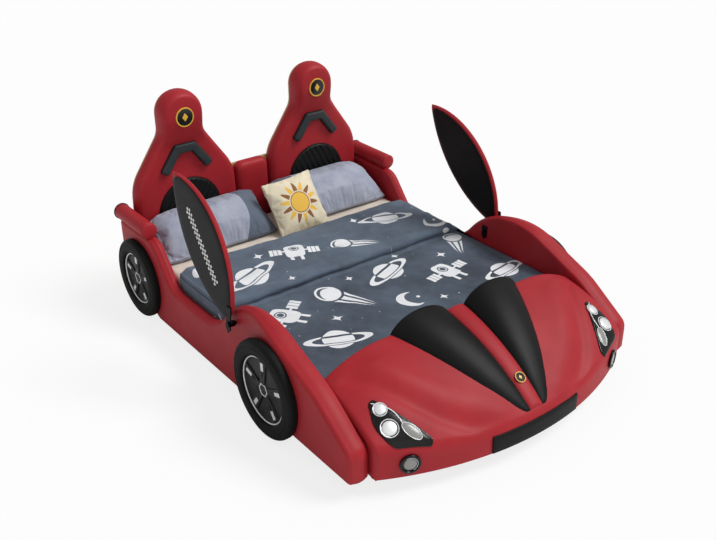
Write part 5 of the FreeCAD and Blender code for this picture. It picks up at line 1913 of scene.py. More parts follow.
    def lamp_outline(self) -> Points:
        """A headlamp's outline in plan."""
        inner, outer = self.half + GAP - 256.7, self.half + GAP - 60.7
        corners = (
            (self.half + GAP - 92.7, 139.0, 20.0),
            (inner, self.nose_at(inner) + 4.0, 14.0),
            (outer - 8.0, self.nose_at(outer) + 4.0, 62.0),
            (self.half + GAP - 44.7, 24.0, 90.0),
        )
        return rounded(corners, 7.0)

    def headlamps(self) -> None:
        """Glossy black pods with a thin rim, two bright bowls, a bright strip and a grey lens."""
        pod = plate(
            self.lamp_outline(),
            self.on_skin,
            lambda u, v, d: 6.4 + 1.4 * smooth_step(d, 6.0, 30.0) - 1.6 * np.exp(
                -np.square((d - 7.0) / 1.6)
            ),
            flat_at(-6.0),
            Padding(4.0, 0.0, 6.0, 4),
        )
        self.pair("headlamp_cover", pod, Book.LAMP, ("headlamp_pod",))
        bowls = reduce(Shape.plus, (self.bowl(*place) for place in self.bowls))
        self.pair("headlamp_bowls", bowls, Book.SILVER, ("headlamp_reflectors",))
        share = np.linspace(0.0, 1.0, 30)
        line_x = 670.0 - 66.0 * share - 20.0 * np.sin(share * math.pi)
        line_y = 104.0 - 122.0 * share
        self.pair("headlamp_strip", tube(self.on_skin(line_x, line_y, 8.4), 2.6, 8), Book.SILVER)
        lenses = self.lens(Side.RIGHT).plus(self.lens(Side.LEFT))
        self.single("headlamp_lens_domes", lenses, Book.LENS, ("headlamp_lenses",))
        turns = angles_round(64)
        edge = self.lens_place(np.cos(turns), np.sin(turns), Side.RIGHT)
        rim = tube(self.on_skin(edge[:, 0], edge[:, 1], 9.0), 1.8, 8, closed=True)
        self.pair("headlamp_lens_rim", rim, Book.SILVER)

    def bowl(self, x: float, y: float, radius: float) -> Shape:
        """A bright reflector bowl with a lamp in its middle and a dark groove round it."""
        foot = self.on_skin(np.array([x]), np.array([y]), 6.0)[0]
        up = self.on_skin(np.array([x]), np.array([y]), 7.0)[0] - foot
        profile = [
            (radius, -1.0),
            (radius + 0.6, 2.6),
            (radius - 1.5, 4.6),
            (radius - 3.0, 4.4),
            (radius - 4.0, 1.0),
        ]
        lamp = radius * 0.78
        profile += (
            [(radius * 0.8, 0.9), (lamp, 4.2)] + rounding((0.0, 4.2), (lamp, 5.0), (0.2, 1.5, 8))
        )
        return turned(profile, foot, up, 64)

    def lens_place(self, across: Points, along: Points, side: Side) -> Points:
        """Places on the oval lens, given in its own unit circle."""
        turn = math.radians(self.lens_turn)
        a, b = self.lens_axes[0] * across, self.lens_axes[1] * along
        x = self.lens_at[0] + a * math.cos(turn) + b * math.sin(turn)
        y = self.lens_at[1] - a * math.sin(turn) + b * math.cos(turn)
        return np.column_stack([x * side.flip, y])

    def lens(self, side: Side) -> Shape:
        """One low oval dome."""
        turns = angles_round(48)
        rows = []
        for share, out in (
            (1.0, 4.0), (1.0, 8.0), (0.93, 9.6), (0.8, 11.0), (0.6, 12.2), (0.35, 13.0), (0.1, 13.3)
        ):
            spots = self.lens_place(share * np.cos(turns), share * np.sin(turns), side)
            rows.append(self.on_skin(spots[:, 0], spots[:, 1], out))
        return sheet_of(np.array(rows), around=True, caps=True)

    def fog_lamps(self) -> None:
        """Round lamps low on the nose: a black ring, a grey face and a bright arc."""
        x, z, radius = self.half + GAP - self.fog_inset, self.fog_z, self.fog_radius
        ends = self.nose_line(np.array([x + radius, x - radius]))
        outward = np.array([float(ends[0] - ends[1]) / (2 * radius), -1.0, 0.0])
        outward /= np.linalg.norm(outward)
        centre = np.array([x, self.nose_at(x), z]) + outward * 0.9
        ring = [(radius - 1, 0.0), (radius, 2.0), (radius, 8.0)]
        ring += rounding((radius - 4, 8), (4, 4), (0.3, 1.5, 5))
        ring += [
            (radius - 9, 11.6), (radius - 11, 8.0), (radius - 12, 5.0), (20.0, 4.0), (5.0, 4.0)
        ]
        self.pair("fog_lamp_ring", turned(ring, centre, outward), Book.LAMP, ("fog_lamp",))
        face = [(30.0, 3.0), (30.0, 5.2), (28.0, 7.0)] + rounding(
            (0.0, 7), (28.0, 3.2), (0.15, 1.5, 8)
        )
        self.pair("fog_lamp_face", turned(face, centre, outward, 64), Book.LENS)
        side = np.cross([0.0, 0.0, 1.0], outward)
        turns = np.linspace(math.radians(60), math.radians(245), 40)
        path = centre + outward * 8.2 + 32.5 * (
            np.outer(np.cos(turns), side) + np.outer(np.sin(turns), [0.0, 0.0, 1.0])
        )
        self.pair("fog_lamp_arc", tube(path, 1.7, 8), Book.CHROME)

    def cover(self) -> None:
        """The red padded skin."""
        edge = self.half - self.side_round * (1 - np.cos(np.linspace(0, math.pi / 2, 6)))
        across = np.concatenate([-edge, np.linspace(-edge[-1], edge[-1], 100)[1:-1], edge[::-1]])
        outer = []
        inner = []
        for x in across:
            line = self.section(float(x))
            ahead = np.gradient(line, axis=0)
            normal = np.column_stack([-ahead[:, 1], ahead[:, 0]]) / np.linalg.norm(
                ahead, axis=1
            )[:, None]
            drop = float(edge_drop(np.array([self.half - abs(x)]), self.side_round)[0])
            to_end = np.maximum(0.0, self.rear - line[:, 0])
            tuck = edge_drop(to_end, self.rear_round)
            out = self.lift(np.full(len(line), x), line[:, 0]) * (line[:, 1] > 60.0) - drop - tuck
            skin = line + normal * out[:, None]
            back = line - normal * self.wall
            outer.append(np.column_stack([np.full(len(line), x), skin]))
            inner.append(np.column_stack([np.full(len(line), x), back]))
        grid = np.concatenate([np.array(outer), np.array(inner)[:, ::-1]], axis=1)
        shape = sheet_of(grid, around=True)
        count = grid.shape[1]
        rows = len(across)
        for base in (0, (rows - 1) * count):
            for j in range(count // 2 - 1):
                shape.faces.append(
                    (base + j, base + j + 1, base + count - 2 - j, base + count - 1 - j)
                )
        self.single("bonnet_cover", shape, Book.RED, ("bonnet_shell",), 0.95)

    def wedges(self) -> None:
        """The two long black humps and the red spine between them."""
        tip_y = self.nose_at(0.0) + 24.0
        rear_y = self.rear - 6.0
        shares, ends = np.concatenate([np.linspace(0, 0.1, 8)[:-1], np.linspace(0.1, 1.0, 48)]), 7
        rows = []
        spine = []
        across = np.linspace(-1, 1, 41)
        for share in np.concatenate([shares, np.ones(ends)]):
            y = tip_y + (rear_y - tip_y) * share
            inner_x = self.wedge_inner[0] + self.wedge_inner[1] * share
            outer_x = self.wedge_outer[0] + self.wedge_outer[1] * share**0.75
            height = self.wedge_height[0] + self.wedge_height[1] * share
            x = (inner_x + outer_x) / 2 + across * (outer_x - inner_x) / 2
            arch = np.power(np.maximum(1 - np.abs(across) ** 2.2, 0.0), 0.72)
            z = self.height(x, np.full_like(x, y)) + height * arch
            rows.append(np.column_stack([x, np.full_like(x, y), z]))
            half = self.spine_half[0] + self.spine_half[1] * share
            sx = across * half
            low = np.power(np.maximum(1 - np.abs(across) ** 2.4, 0.0), 0.8)
            sz = self.height(sx, np.full_like(sx, y)) + self.spine_height * low
            spine.append(np.column_stack([sx, np.full_like(sx, y), sz]))
        self.pair(
            "wedge_cover", self.hump(np.array(rows), 24.0), Book.BLACK, ("bonnet_wedge",), 0.95
        )
        edges = [np.array(rows)[:-ends, column] + np.array([0.0, 0.0, 0.9]) for column in (0, -1)]
        for side in Side:
            paths = [edge * np.array([side.flip, 1.0, 1.0]) for edge in edges]
            self.keep(seam_line(f"wedge_seam_{side.value}", paths, Book.THREAD, 6.0), Book.THREAD)
        self.single(
            "spine_cover", self.hump(np.array(spine), 8.0), Book.RED, ("bonnet_ridge",), 0.95
        )

    def hump(self, rows: Points, rear_round: float) -> Shape:
        """A padded hump whose rear end is rounded over, closed below.

        Args:
            rows: its arched cross-sections, from its front to its rear, by points by 3.
            rear_round: radius of its rear edge.

        Returns:
            The closed shape.
        """
        last = rows[-1]
        for angle in np.linspace(0, math.pi / 2, 7)[1:]:
            pull = rear_round * (1 - math.cos(angle))
            ring = last.copy()
            ring[:, 1] += 0.22 * rear_round * math.sin(angle)
            middle = ring[:, 0].mean()
            width = np.ptp(last[:, 0]) / 2
            ring[:, 0] = middle + (ring[:, 0] - middle) * (1 - pull / width * 0.5)
            floor = self.height(ring[:, 0], ring[:, 1])
            ring[:, 2] = np.maximum(ring[:, 2] - pull, np.minimum(floor, ring[:, 2]))
            rows = np.concatenate([rows, ring[None]])
        under = rows.copy()
        under[:, :, 2] = np.minimum(
            self.height(rows[:, :, 0], rows[:, :, 1]) - 8.0, rows[:, :, 2] - 2.0
        )
        grid = np.concatenate([rows, under[:, ::-1]], axis=1)
        return sheet_of(grid, around=True, caps=True)


def waves(x: Points, y: Points, across: float, along: float, seed: float) -> Points:
    """Smooth noise over a plane, with its own scale in each direction, from -1 to 1.

    Args:
        x: first coordinates, mm.
        y: second coordinates, mm.
        across: the noise's scale along x, mm.
        along: its scale along y, mm.
        seed: picks the pattern.

    Returns:
        One value for each place.
    """
    x, y = np.broadcast_arrays(x, y)
    values = [
        noise.noise(Vector((a / across, b / along, seed))) for a, b in zip(x.ravel(), y.ravel())
    ]
    return np.array(values).reshape(x.shape)


@dataclass(frozen=True)
class Stuffing:
    """How a pad is swollen by cloth simulation."""

    pressure: float = 4.0
    voxel: float = 0.006
    frames: int = 20
    cap: float = 22.0  # mm that a point may move
    spare: float = 0.05  # how much longer the cloth is than its seams

    def swell(self, shape: Shape, rim: float) -> Shape:
        """Swells a pad about its own middle, its seam held.

        Args:
            shape: the pad, mm, its seam in the plane of z = 0.
            rim: points within this height of the seam's plane and at its edge are held, mm.
        """
        mesh = bpy.data.meshes.new("stuffing")
        mesh.from_pydata((shape.points / 1000).tolist(), [], shape.faces)
        pad = linked("stuffing", mesh)
        scene = bpy.context.scene
        mend(mesh)
        fine = pad.modifiers.new("fine", "REMESH")
        fine.mode, fine.voxel_size = "VOXEL", self.voxel
        mesh = bpy.data.meshes.new_from_object(
            pad.evaluated_get(bpy.context.evaluated_depsgraph_get())
        )
        pad.modifiers.clear()
        pad.data = mesh
        start = np.array([tuple(vertex.co) for vertex in mesh.vertices]) * 1000
        held = pad.vertex_groups.new(name="seam")
        flat = np.abs(start[:, 2]) < rim
        reach = np.abs(start[:, :2]) / np.abs(start[:, :2]).max(axis=0)
        seam = np.flatnonzero(flat & (reach.max(axis=1) > 0.86))
        held.add([int(i) for i in seam], 1.0, "REPLACE")
        cloth = pad.modifiers.new("cloth", "CLOTH")
        cloth.settings.quality = 6
        cloth.settings.mass = 0.25
        cloth.settings.tension_stiffness = 18.0
        cloth.settings.compression_stiffness = 18.0
        cloth.settings.bending_stiffness = 0.25
        cloth.settings.use_pressure = True
        cloth.settings.uniform_pressure_force = self.pressure
        cloth.settings.shrink_min = -self.spare
        cloth.settings.vertex_group_mass = "seam"
        cloth.settings.effector_weights.gravity = 0.0
        cloth.collision_settings.use_collision = False
        for frame in range(1, self.frames + 1):
            scene.frame_set(frame)
        shown = bpy.data.meshes.new_from_object(
            pad.evaluated_get(bpy.context.evaluated_depsgraph_get())
        )
        stop = np.array([tuple(vertex.co) for vertex in shown.vertices]) * 1000
        scene.frame_set(1)
        bpy.data.objects.remove(pad)
        moved = stop - start
        length = np.linalg.norm(moved, axis=1)
        moved *= np.minimum(1.0, self.cap / np.maximum(length, 1e-6))[:, None]
        LOG.info("swollen pad: %d points, moved %.1f mm at most", len(start), float(length.max()))
        return Shape(start + moved, [tuple(face.vertices) for face in shown.polygons])


@dataclass
class Bedding(SubAssembly):
    """Mattress, fitted sheet, duvet, pillows and the small cushion."""

    foot: float = 160.0
    head: float = 2040.0
    half: float = 750.0
    corner: float = 45.0
    duvet_half: float = 751.0
    duvet_foot: float = 300.0
    duvet_fold: float = 1612.0
    duvet_flap: float = 1108.0
    pillow: tuple[float, ...] = (690.0, 348.0, 146.0, 8.0, 0.1)  # what `pad` takes
    pillow_tilt: float = 30.0
    pillow_x: float = 392.0
    pillow_rear: float = 2041.0
    cushion: tuple[float, ...] = (330.0, 326.0, 92.0, 7.0)
    cushion_tilt: float = 58.0
    cushion_at: tuple[float, float] = (82.0, 1766.0)
    cushion_turn: float = 3.5

    def build(self) -> None:
        """Builds the bedding."""
        self.mattress()
        self.duvet()
        self.pillows()

    def mattress(self) -> None:
        """Foam mattress, and the fitted sheet that is stretched over it."""
        h, r = self.half, self.corner
        ends = ((-h, self.foot, r), (h, self.foot, r), (h, self.head, r), (-h, self.head, r))
        outline = rounded(ends, 20.0)
        foam = plate(
            outline, lying, flat_at(MATTRESS_TOP - 1.5), flat_at(65.0), Padding(26.0, 16.0, 40.0)
        )
        foam.points[:, :2] *= 0.998
        foam.points[:, 1] += 2.2
        self.single("mattress_cover", foam, Book.SHEET, ("mattress",), 1.0)

        def pulled(u: Points, v: Points, d: Points) -> Points:
            """The sheet's top with creases that run to its corners."""
            creases = (
                2.2 * waves(u + 0.5 * v, v, 60.0, 300.0, 3.1) + 1.6 * waves(u, v, 240.0, 42.0, 8.4)
            )
            return MATTRESS_TOP + 1.2 + np.maximum(creases, -0.9) * smooth_step(d, 4.0, 60.0)

        sheet = plate(
            outline, lying, pulled, flat_at(72.0), Padding(24.0, 0.0, 15.0, open_back=True)
        )
        piece = mesh_object("fitted_sheet", sheet, Book.SHEET, closed=False)
        self.keep(piece, Book.SHEET, ("mattress",))

    def duvet(self) -> None:
        """Printed quilt, soft and creased, its head end folded back on itself."""
        low = MATTRESS_TOP + 2.6
        top, fold = low + 18.0, low + 58.0
        corners = [
            (self.duvet_foot, low, 9.0),
            (self.duvet_fold, low, 20.0),
            (self.duvet_fold, fold, 24.0),
            (self.duvet_flap, fold, 18.0),
            (self.duvet_flap + 26.0, top, 3.0),
            (self.duvet_foot, top, 10.0),
        ]
        line = rounded(corners, 13.0)
        line = np.roll(line, -int(np.argmin(line[:, 0] + 5 * line[:, 1])), axis=0)
        line = np.vstack([line, line[:1]])
        across = self.duvet_half * np.sin(np.linspace(-1, 1, 121) * math.pi / 2 * 0.97) / math.sin(
            math.pi / 2 * 0.97
        )
        x = np.repeat(across[:, None], len(line), axis=1)
        y = np.repeat(line[None, :, 0], len(across), axis=0)
        z = np.repeat(line[None, :, 1], len(across), axis=0)
        upper = smooth_step(z, low + 3.0, low + 18.0)
        flap = smooth_step(y, self.duvet_flap - 30.0, self.duvet_flap + 20.0) * smooth_step(
            z, top + 3.0, fold - 4.0
        )
        soft = 6.0 * waves(x, y, 210.0, 170.0, 1.7) + 3.6 * waves(x + 0.6 * y, y, 70.0, 190.0, 5.2)
        fine = 2.4 * waves(x, y - 0.4 * x, 60.0, 40.0, 9.9)
        puff = 9.0 * waves(x - 0.5 * y, y, 130.0, 50.0, 12.3) + 8.0 * waves(
            x + 0.8 * y, y, 150.0, 70.0, 21.0
        )
        sink = smooth_step(y, self.duvet_flap - 60.0, self.duvet_flap) * (1 - flap) * (z < top + 6)
        z = z + upper * (soft + fine) * (1 - flap) + flap * (puff + 3.0 + fine) - upper * sink * 3.0
        z = np.minimum(z, fold + 15.0)
        edge = np.exp(-np.square((y - self.duvet_flap) / 90.0)) * smooth_step(z, top, fold)
        y = y + edge * (
            16.0 * waves(x, 0 * x, 260.0, 1.0, 4.4) + 6.0 * waves(x, 0 * x, 70.0, 1.0, 7.7)
        )
        end = smooth_step(np.abs(x), self.duvet_half - 46.0, self.duvet_half)
        middle = np.where(flap > 0.5, low + 22.0, low + 9.0)
        z = z + (middle - z) * end * 0.72
        shape = sheet_of(np.dstack([x, y, np.maximum(z, MATTRESS_TOP + 2.2)]), caps=True)
        cloth = shape.points[:, :2] / 1000
        piece = mesh_object("duvet_cover", shape, Book.DUVET, cloth=cloth)
        self.keep(piece, Book.DUVET, ("duvet",), 0.3)
        y = np.linspace(self.duvet_foot + 240.0, self.duvet_fold - 6.0, 90)
        shares, rows = (0.0, 0.2, 0.4, 0.6, 0.8, 1.0), []
        for share in shares + shares[::-1]:
            out = 750.6 if len(rows) < len(shares) else 754.0
            fall = 92.0 + 9.0 * waves(y, 0 * y, 210.0, 1.0, 15.2)
            z = low + 10.0 - share * fall
            rows.append(np.column_stack([out + 1.6 * waves(y, z, 90.0, 60.0, 6.6) + 1.6, y, z]))
        hem = sheet_of(np.array(rows), along=True)
        count = len(y)
        hem.faces.append(tuple(i * count for i in range(len(rows)))[::-1])
        hem.faces.append(tuple(i * count + count - 1 for i in range(len(rows))))
        for flank in Side:
            form = hem.on(flank)
            flat = np.column_stack(
                [(form.points[:, 2] - low) / 1000 + 0.75, form.points[:, 1] / 1000]
            )
            fall_piece = mesh_object(f"duvet_fall_{flank.value}", form, Book.DUVET, cloth=flat)
            self.keep(fall_piece, Book.DUVET, ("duvet",))

    def pad(
        self, width: float, depth: float, thick: float, seam: float, taper: float = 0.0
    ) -> Shape:
        """A stuffed pad about its own middle, crowned, with drawn-in sides.

        Args:
            width: along x.
            depth: along y.
            thick: at its middle.
            seam: its thickness at the seam.
            taper: share by which its two ends are narrower.

        Returns:
            The closed pad.
        """
        count = 40
        u = np.sin(np.linspace(-1, 1, count) * math.pi / 2)
        grid_u, grid_v = np.meshgrid(u, u, indexing="ij")
        half_x = width / 2 * (1 - 0.05 * (1 - grid_v**2))
        half_y = depth / 2 * (1 - 0.06 * (1 - grid_u**2) - taper * np.power(np.abs(grid_u), 5))
        fall = np.power(np.maximum((1 - grid_u**2) * (1 - grid_v**2), 0.0), 0.42)
        crown = seam / 2 + (thick - seam) / 2 * fall
        x, y = grid_u * half_x, grid_v * half_y
        shape = sheet_of(np.dstack([x, y, crown])).plus(sheet_of(np.dstack([x, y, -crown])))
        rim = [(i, 0) for i in range(count)] + [(count - 1, j) for j in range(1, count)]
        rim += [(i, count - 1) for i in range(count - 2, -1, -1)] + [
            (0, j) for j in range(count - 2, 0, -1)
        ]
        index = [i * count + j for i, j in rim]
        for k, a in enumerate(index):
            b = index[(k + 1) % len(index)]
            shape.faces.append((a, b, b + count * count, a + count * count))
        return shape

    def set_down(
        self, shape: Shape, tilt: float, x: float, rear: float | None = None, y: float | None = None
    ) -> Shape:
        """Tilts a pad back and presses it a little into what it rests on.

        Args:
            shape: the pad about its own middle.
            tilt: degrees from lying flat.
            x: where its middle goes.
            rear: where its rearmost point goes.
            y: or where its middle goes.

        Returns:
            The pad in its place.
        """
        cos, sin = math.cos(math.radians(tilt)), math.sin(math.radians(tilt))
        turn = np.array([[1, 0, 0], [0, cos, -sin], [0, sin, cos]])
        points = shape.points @ turn.T
        shift_y = rear - points[:, 1].max() + 5.0 if rear is not None else float(y or 0.0)
        floor = MATTRESS_TOP + 3.6
        points = points + np.array([x, shift_y, floor - 9.0 - points[:, 2].min()])
        points[:, 2] = np.where(
            points[:, 2] < floor + 9,
            floor + 9 * np.exp((points[:, 2] - floor - 9) / 9),
            points[:, 2],
        )
        if rear is not None:
            points[:, 1] = np.minimum(points[:, 1], rear)
        return Shape(points, shape.faces)

    def pillows(self) -> None:
        """Two bed pillows that lean on the seats, and the small cushion in front."""
        local = Stuffing().swell(self.pad(*self.pillow), 9.0)
        share = local.points[:, 0] / (self.pillow[0] / 2)
        outer, inner = np.maximum(share, 0.0), np.maximum(-share, 0.0)
        upper = smooth_step(local.points[:, 1], 0.0, 160.0)
        local.points[:, 2] -= (
            46.0 * np.power(outer, 4) * (0.3 + 0.7 * upper) + 14.0 * np.power(inner, 5)
        )
        local.points[:, 1] -= (34.0 * np.power(outer, 5) + 6.0 * np.power(inner, 6)) * upper
        cloth = local.points[:, :2] / 1000
        pillow = self.set_down(local, self.pillow_tilt, self.pillow_x, rear=self.pillow_rear)
        for flank in Side:
            piece = mesh_object(
                f"pillow_cover_{flank.value}", pillow.on(flank), Book.PILLOW, 80.0, cloth=cloth
            )
            self.keep(piece, Book.PILLOW, (f"pillow_{flank.value}",), 0.7)
        flat = Stuffing(cap=16.0, spare=0.035).swell(self.pad(*self.cushion), 8.0)
        cloth = flat.points[:, :2] / 1000
        cos, sin = math.cos(math.radians(self.cushion_turn)), math.sin(
            math.radians(self.cushion_turn)
        )
        turn = np.array([[cos, -sin, 0], [sin, cos, 0], [0, 0, 1]])
        askew, (x, y) = Shape(flat.points @ turn.T, flat.faces), self.cushion_at
        cushion = self.set_down(askew, self.cushion_tilt, x, y=y)
        piece = mesh_object("cushion_cover", cushion, Book.CUSHION, 80.0, cloth=cloth)
        self.keep(piece, Book.CUSHION, ("cushion",), 0.8)


@dataclass
class Doors(SubAssembly):
    """The two raised lens-shaped leaves: a red padded core with a black face on each side."""

    pivot: tuple[float, float, float] = (829.0, 915.0, 338.0)
    tip: tuple[float, float] = (515.0, 577.0)
    sags: tuple[float, float] = (196.0, 126.0)
    start: float = 34.0
    thick: float = 30.0
    splay: float = 2.0
    lean: float = 5.4
    face_inset: float = 7.5
    square: float = 13.0
    columns: int = 15

    def place(self, p: Points, q: Points, w: Points) -> Points:
        """Points given along the leaf, across it and out of it."""
        splay, lean = math.radians(self.splay), math.radians(self.lean)
        along = np.array([math.sin(splay), math.cos(splay), 0.0])
        outward = np.array(
            [math.cos(splay) * math.cos(lean), -math.sin(splay) * math.cos(lean), math.sin(lean)]
        )
        up = np.cross(outward, along)
        slope = math.atan2(self.tip[1], self.tip[0])
        level = p * math.cos(slope) - q * math.sin(slope)
        rise = p * math.sin(slope) + q * math.cos(slope)
        return (
            np.array(self.pivot)
            + np.outer(level, along)
            + np.outer(rise, up)
            + np.outer(w, outward)
        )

    def outline(self, inset: float) -> Points:
        """The leaf's outline along and across it: two arcs and a straight foot."""
        length = math.hypot(*self.tip)

        def bow(sag: float, p: Points) -> Points:
            """Height of an arc over the leaf's middle line."""
            radius = (length**2 / 4 + sag**2) / (2 * sag)
            return np.sqrt(radius**2 - np.square(p - length / 2)) - (radius - sag)

        p = np.linspace(self.start + inset, length - 3.0 * inset, 58)
        front = np.maximum(bow(self.sags[0], p) - inset, 0.0)
        rear = np.minimum(-bow(self.sags[1], p) + inset, 0.0)
        front[-1] = rear[-1] = 0.0
        foot = np.linspace(rear[0], front[0], 8)[1:-1]
        points = np.vstack(
            [
                np.column_stack([p, front]),
                np.column_stack([p, rear])[::-1][1:],
                np.column_stack([np.full(6, p[0]), foot]),
            ]
        )
        return anticlockwise(points)

    def build(self) -> None:
        """Builds the leaves; straps and pins are carried over."""
        core = plate(
            self.outline(0.0),
            self.place,
            flat_at(self.thick - 3.0),
            flat_at(3.0),
            Padding(8.0, 8.0, 22.0, 5, crown=2.0),
        )
        self.pair("door_core_cover", core, Book.RED, ("door_core",), 0.95, door=True)
        outline = self.outline(self.face_inset)
        out, swell = self.thick, 1.8
        outer = plate(
            outline,
            self.place,
            lambda u, v, d: out + swell * smooth_step(d, 0.0, 26.0),
            flat_at(out - 7.0),
            Padding(4.0, 0.0, 18.0, 4),
        )
        inner = plate(
            outline,
            self.place,
            flat_at(7.0),
            lambda u, v, d: -swell * smooth_step(d, 0.0, 26.0),
            Padding(0.0, 4.0, 18.0, 4),
        )
        for name, face in (("outer", outer), ("inner", inner)):
            self.pair(f"door_face_{name}", face, Book.BLACK, ("door_pads",), 0.95, door=True)
        self.chequer()

    def chequer(self) -> None:
        """A plain white chequered strip on each outer face."""
        side = self.square
        cells = []
        for column, row in ((0, -1), (0, 1), (1, 0)):
            a, b = column * side, (row - 0.5) * side
            corners = [
                (a, b, 0.6), (a + side, b, 0.6), (a + side, b + side, 0.6), (a, b + side, 0.6)
            ]
            cells.append(
                plate(
                    rounded(corners, side),
                    lying,
                    flat_at(0.7),
                    flat_at(-0.4),
                    Padding(0.2, 0.0, side, 1),
                )
            )
        unit = reduce(Shape.plus, cells).local()
        origin = self.place(np.zeros(1), np.zeros(1), np.zeros(1))[0]
        axes = [self.place(*step[:, None])[0] - origin for step in np.eye(3)]
        for flank in Side:
            piece = mesh_object(f"door_chequer_{flank.value}", unit, Book.WHITE)
            Repeat(Layout.STEPS, self.columns, shift=(2 * side / 1000, 0.0, 0.0)).apply(
                piece, Book.WHITE
            )
            foot = self.place(np.array([190.0]), np.array([26.0]), np.array([self.thick + 1.8]))[0]
            turn = Matrix(
                [[*(axis[i] for axis in axes), to_frame(foot)[i]] for i in range(3)]
                + [[0, 0, 0, 1]]
            )
            if flank is Side.LEFT:
                turn = Matrix.Scale(-1, 4, (1, 0, 0)) @ turn
            piece.data.transform(turn)
            if flank is Side.LEFT:
                piece.data.flip_normals()
            self.keep(piece, Book.WHITE, body=f"door_{flank.value}")


@dataclass
class Base(SubAssembly):
    """The slats under the mattress."""

    top: float = 64.7
    thick: float = 15.0
    width: float = 70.0
    half: float = 759.4
    rows: tuple[float, float, int] = (160.0, 1970.0, 13)  # first and last front edge, and how many

    def build(self) -> None:
        """Builds the slats."""
        first, last, count = self.rows
        h, w = self.half, self.width
        outline = rounded([(-h, 0, 3), (h, 0, 3), (h, w, 3), (-h, w, 3)], 60.0)
        slat = plate(
            outline,
            lying,
            flat_at(self.top),
            flat_at(self.top - self.thick),
            Padding(3.0, 3.0, 60.0, 3),
        )
        slat.points += np.array([0.0, first, 0.0])
        piece = mesh_object("slat_row", slat, Book.PLYWOOD)
        step = (last - first) / (count - 1) / 1000
        Repeat(Layout.STEPS, count, shift=(0.0, step, 0.0)).apply(piece, Book.PLYWOOD)
        self.keep(piece, Book.PLYWOOD, ("slats",))


@dataclass
class Frame(SubAssembly):
    """Carried-over CAD nodes, which get finishes of their own."""

    nodes: dict[str, Finish] = field(
        default_factory=lambda: {
            "door": Book.DARK_STEEL,
            "wheel_trim_rings": Book.SILVER,
            "headboard": Book.PLYWOOD,
            "front_board": Book.PLYWOOD,
            "side_ledges": Book.TIMBER,
            "centre_beam": Book.TIMBER,
            "legs": Book.COVER,
            "corner_brackets": Book.STEEL,
            "bracket_bolts": Book.DARK_STEEL,
        }
    )

    def dress(self, cad: dict[str, bpy.types.Object]) -> None:
        """Gives each carried-over node its finish.

        Args:
            cad: the frame's node objects by name.
        """
        for name, piece in cad.items():
            keys = [key for key in self.nodes if name.startswith(key)]
            finish = self.nodes[max(keys, key=len)] if keys else Book.BLACK
            if not keys:
                LOG.info("no finish of its own: %s", name)
            piece.data.materials.clear()
            piece.data.materials.append(finish.material())


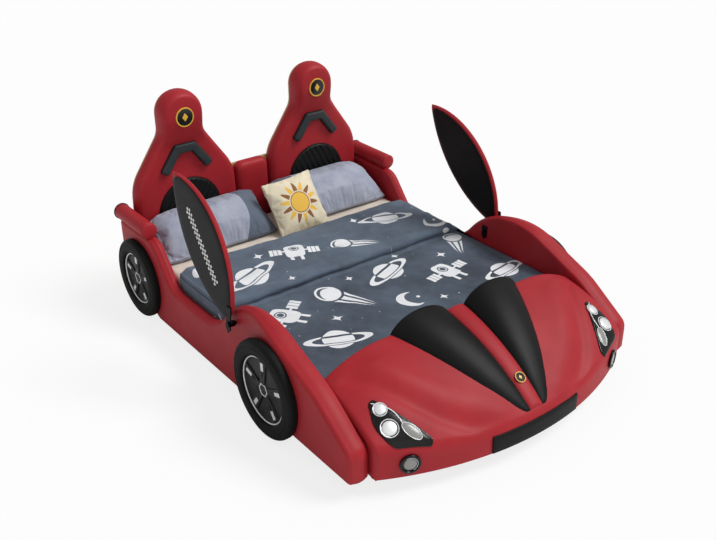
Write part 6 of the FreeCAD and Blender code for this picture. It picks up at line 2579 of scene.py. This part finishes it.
@dataclass
class Studio:
    """Camera, lamps, floor and world."""

    camera_at: tuple[float, float, float] = (-2.606, -3.3455, 2.639)
    azimuth: float = 37.02
    pitch: float = 27.86
    roll: float = -0.55
    focal_pixels: float = 940.0
    frame_width: float = 716.0
    fill_strength: float = 0.36  # of the world, as far as the camera doesn't see it
    mirrored_share: float = 0.12  # how much of its white shows in glossy reflections
    floor_glow: float = 0.8  # share of the floor's look that is plain white

    def build(self) -> None:
        """Sets up the studio."""
        self.camera()
        self.lamps()
        self.floor()

    def camera(self) -> None:
        """The photograph's viewpoint."""
        data = bpy.data.cameras.new("camera")
        data.sensor_width = 36.0
        data.lens = 36.0 * self.focal_pixels / self.frame_width
        data.clip_end = 60.0
        made = linked("camera", data)
        azimuth, pitch, roll = (
            math.radians(value) for value in (self.azimuth, self.pitch, self.roll)
        )
        ahead = Vector(
            (
                math.sin(azimuth) * math.cos(pitch),
                math.cos(azimuth) * math.cos(pitch),
                -math.sin(pitch),
            )
        )
        right = Vector((math.cos(azimuth), -math.sin(azimuth), 0.0))
        up = right.cross(ahead)
        turned_right = right * math.cos(roll) + up * math.sin(roll)
        turned_up = up * math.cos(roll) - right * math.sin(roll)
        turn = Matrix((turned_right, turned_up, -ahead)).transposed().to_4x4()
        made.matrix_world = Matrix.Translation(self.camera_at) @ turn
        bpy.context.scene.camera = made

    def lamps(self) -> None:
        """One broad soft key from the front right, and the pale world as fill."""
        for name, aim, strength, spread in (
            ("key", Vector((-0.62, 0.42, -1.0)), 2.3, 26.0),
            ("fill", Vector((0.35, 0.75, -0.55)), 0.35, 60.0),
        ):
            data = bpy.data.lights.new(name, "SUN")
            data.energy = strength
            data.angle = math.radians(spread)
            linked(name, data).rotation_euler = aim.to_track_quat("-Z", "Y").to_euler()
        world = bpy.data.worlds.new("studio_world")
        bpy.context.scene.world = world
        world.use_nodes = True
        tree = world.node_tree
        tree.nodes.clear()
        rays = add(tree, "ShaderNodeLightPath")
        kinds = ("Camera", "Transmission", "Glossy")
        camera, through, glossy = (Term(tree, rays.outputs[f"Is {kind} Ray"]) for kind in kinds)
        seen = camera + through + glossy * self.mirrored_share
        strength = between(tree, seen.socket, self.fill_strength, 1.0)
        sky = add(tree, "ShaderNodeBackground", {"Color": colour("#FFFFFF"), "Strength": strength})
        out = add(tree, "ShaderNodeOutputWorld")
        tree.links.new(sky.outputs[0], out.inputs["Surface"])
        bpy.context.scene.view_settings.view_transform = "Standard"

    def floor(self) -> None:
        """White floor that keeps the bed's shadow."""
        mesh = bpy.data.meshes.new("floor")
        mesh.from_pydata(
            [(-30, -30, 0), (30, -30, 0), (30, 30, 0), (-30, 30, 0)], [], [(0, 1, 2, 3)]
        )
        made = linked("floor", mesh)
        material = bpy.data.materials.new("paper_white_matt")
        material.use_nodes = True
        tree = material.node_tree
        tree.nodes.clear()
        rays = add(tree, "ShaderNodeLightPath")
        share = Term(tree, rays.outputs["Is Camera Ray"]) * self.floor_glow
        matt = add(tree, "ShaderNodeBsdfDiffuse", {"Color": colour("#F4F4F4")})
        glow = add(tree, "ShaderNodeEmission", {"Color": colour("#FFFFFF"), "Strength": 1.0})
        mix = add(
            tree, "ShaderNodeMixShader", {0: share.socket, 1: matt.outputs[0], 2: glow.outputs[0]}
        )
        out = add(tree, "ShaderNodeOutputMaterial")
        tree.links.new(mix.outputs[0], out.inputs["Surface"])
        mesh.materials.append(material)


def main() -> None:
    """Builds the studio and the bed's groups in order."""
    logging.basicConfig(level=logging.INFO, format="%(message)s")
    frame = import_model()
    Studio().build()
    for group in (SideCovers(), Wheels(), Seats(), Bonnet(), Bedding(), Doors(), Base()):
        group.build()
        LOG.info("%s: %d pieces", type(group).__name__, len(group.made))
    Frame().dress(frame["nodes"])


if __name__ == "__main__":
    main()
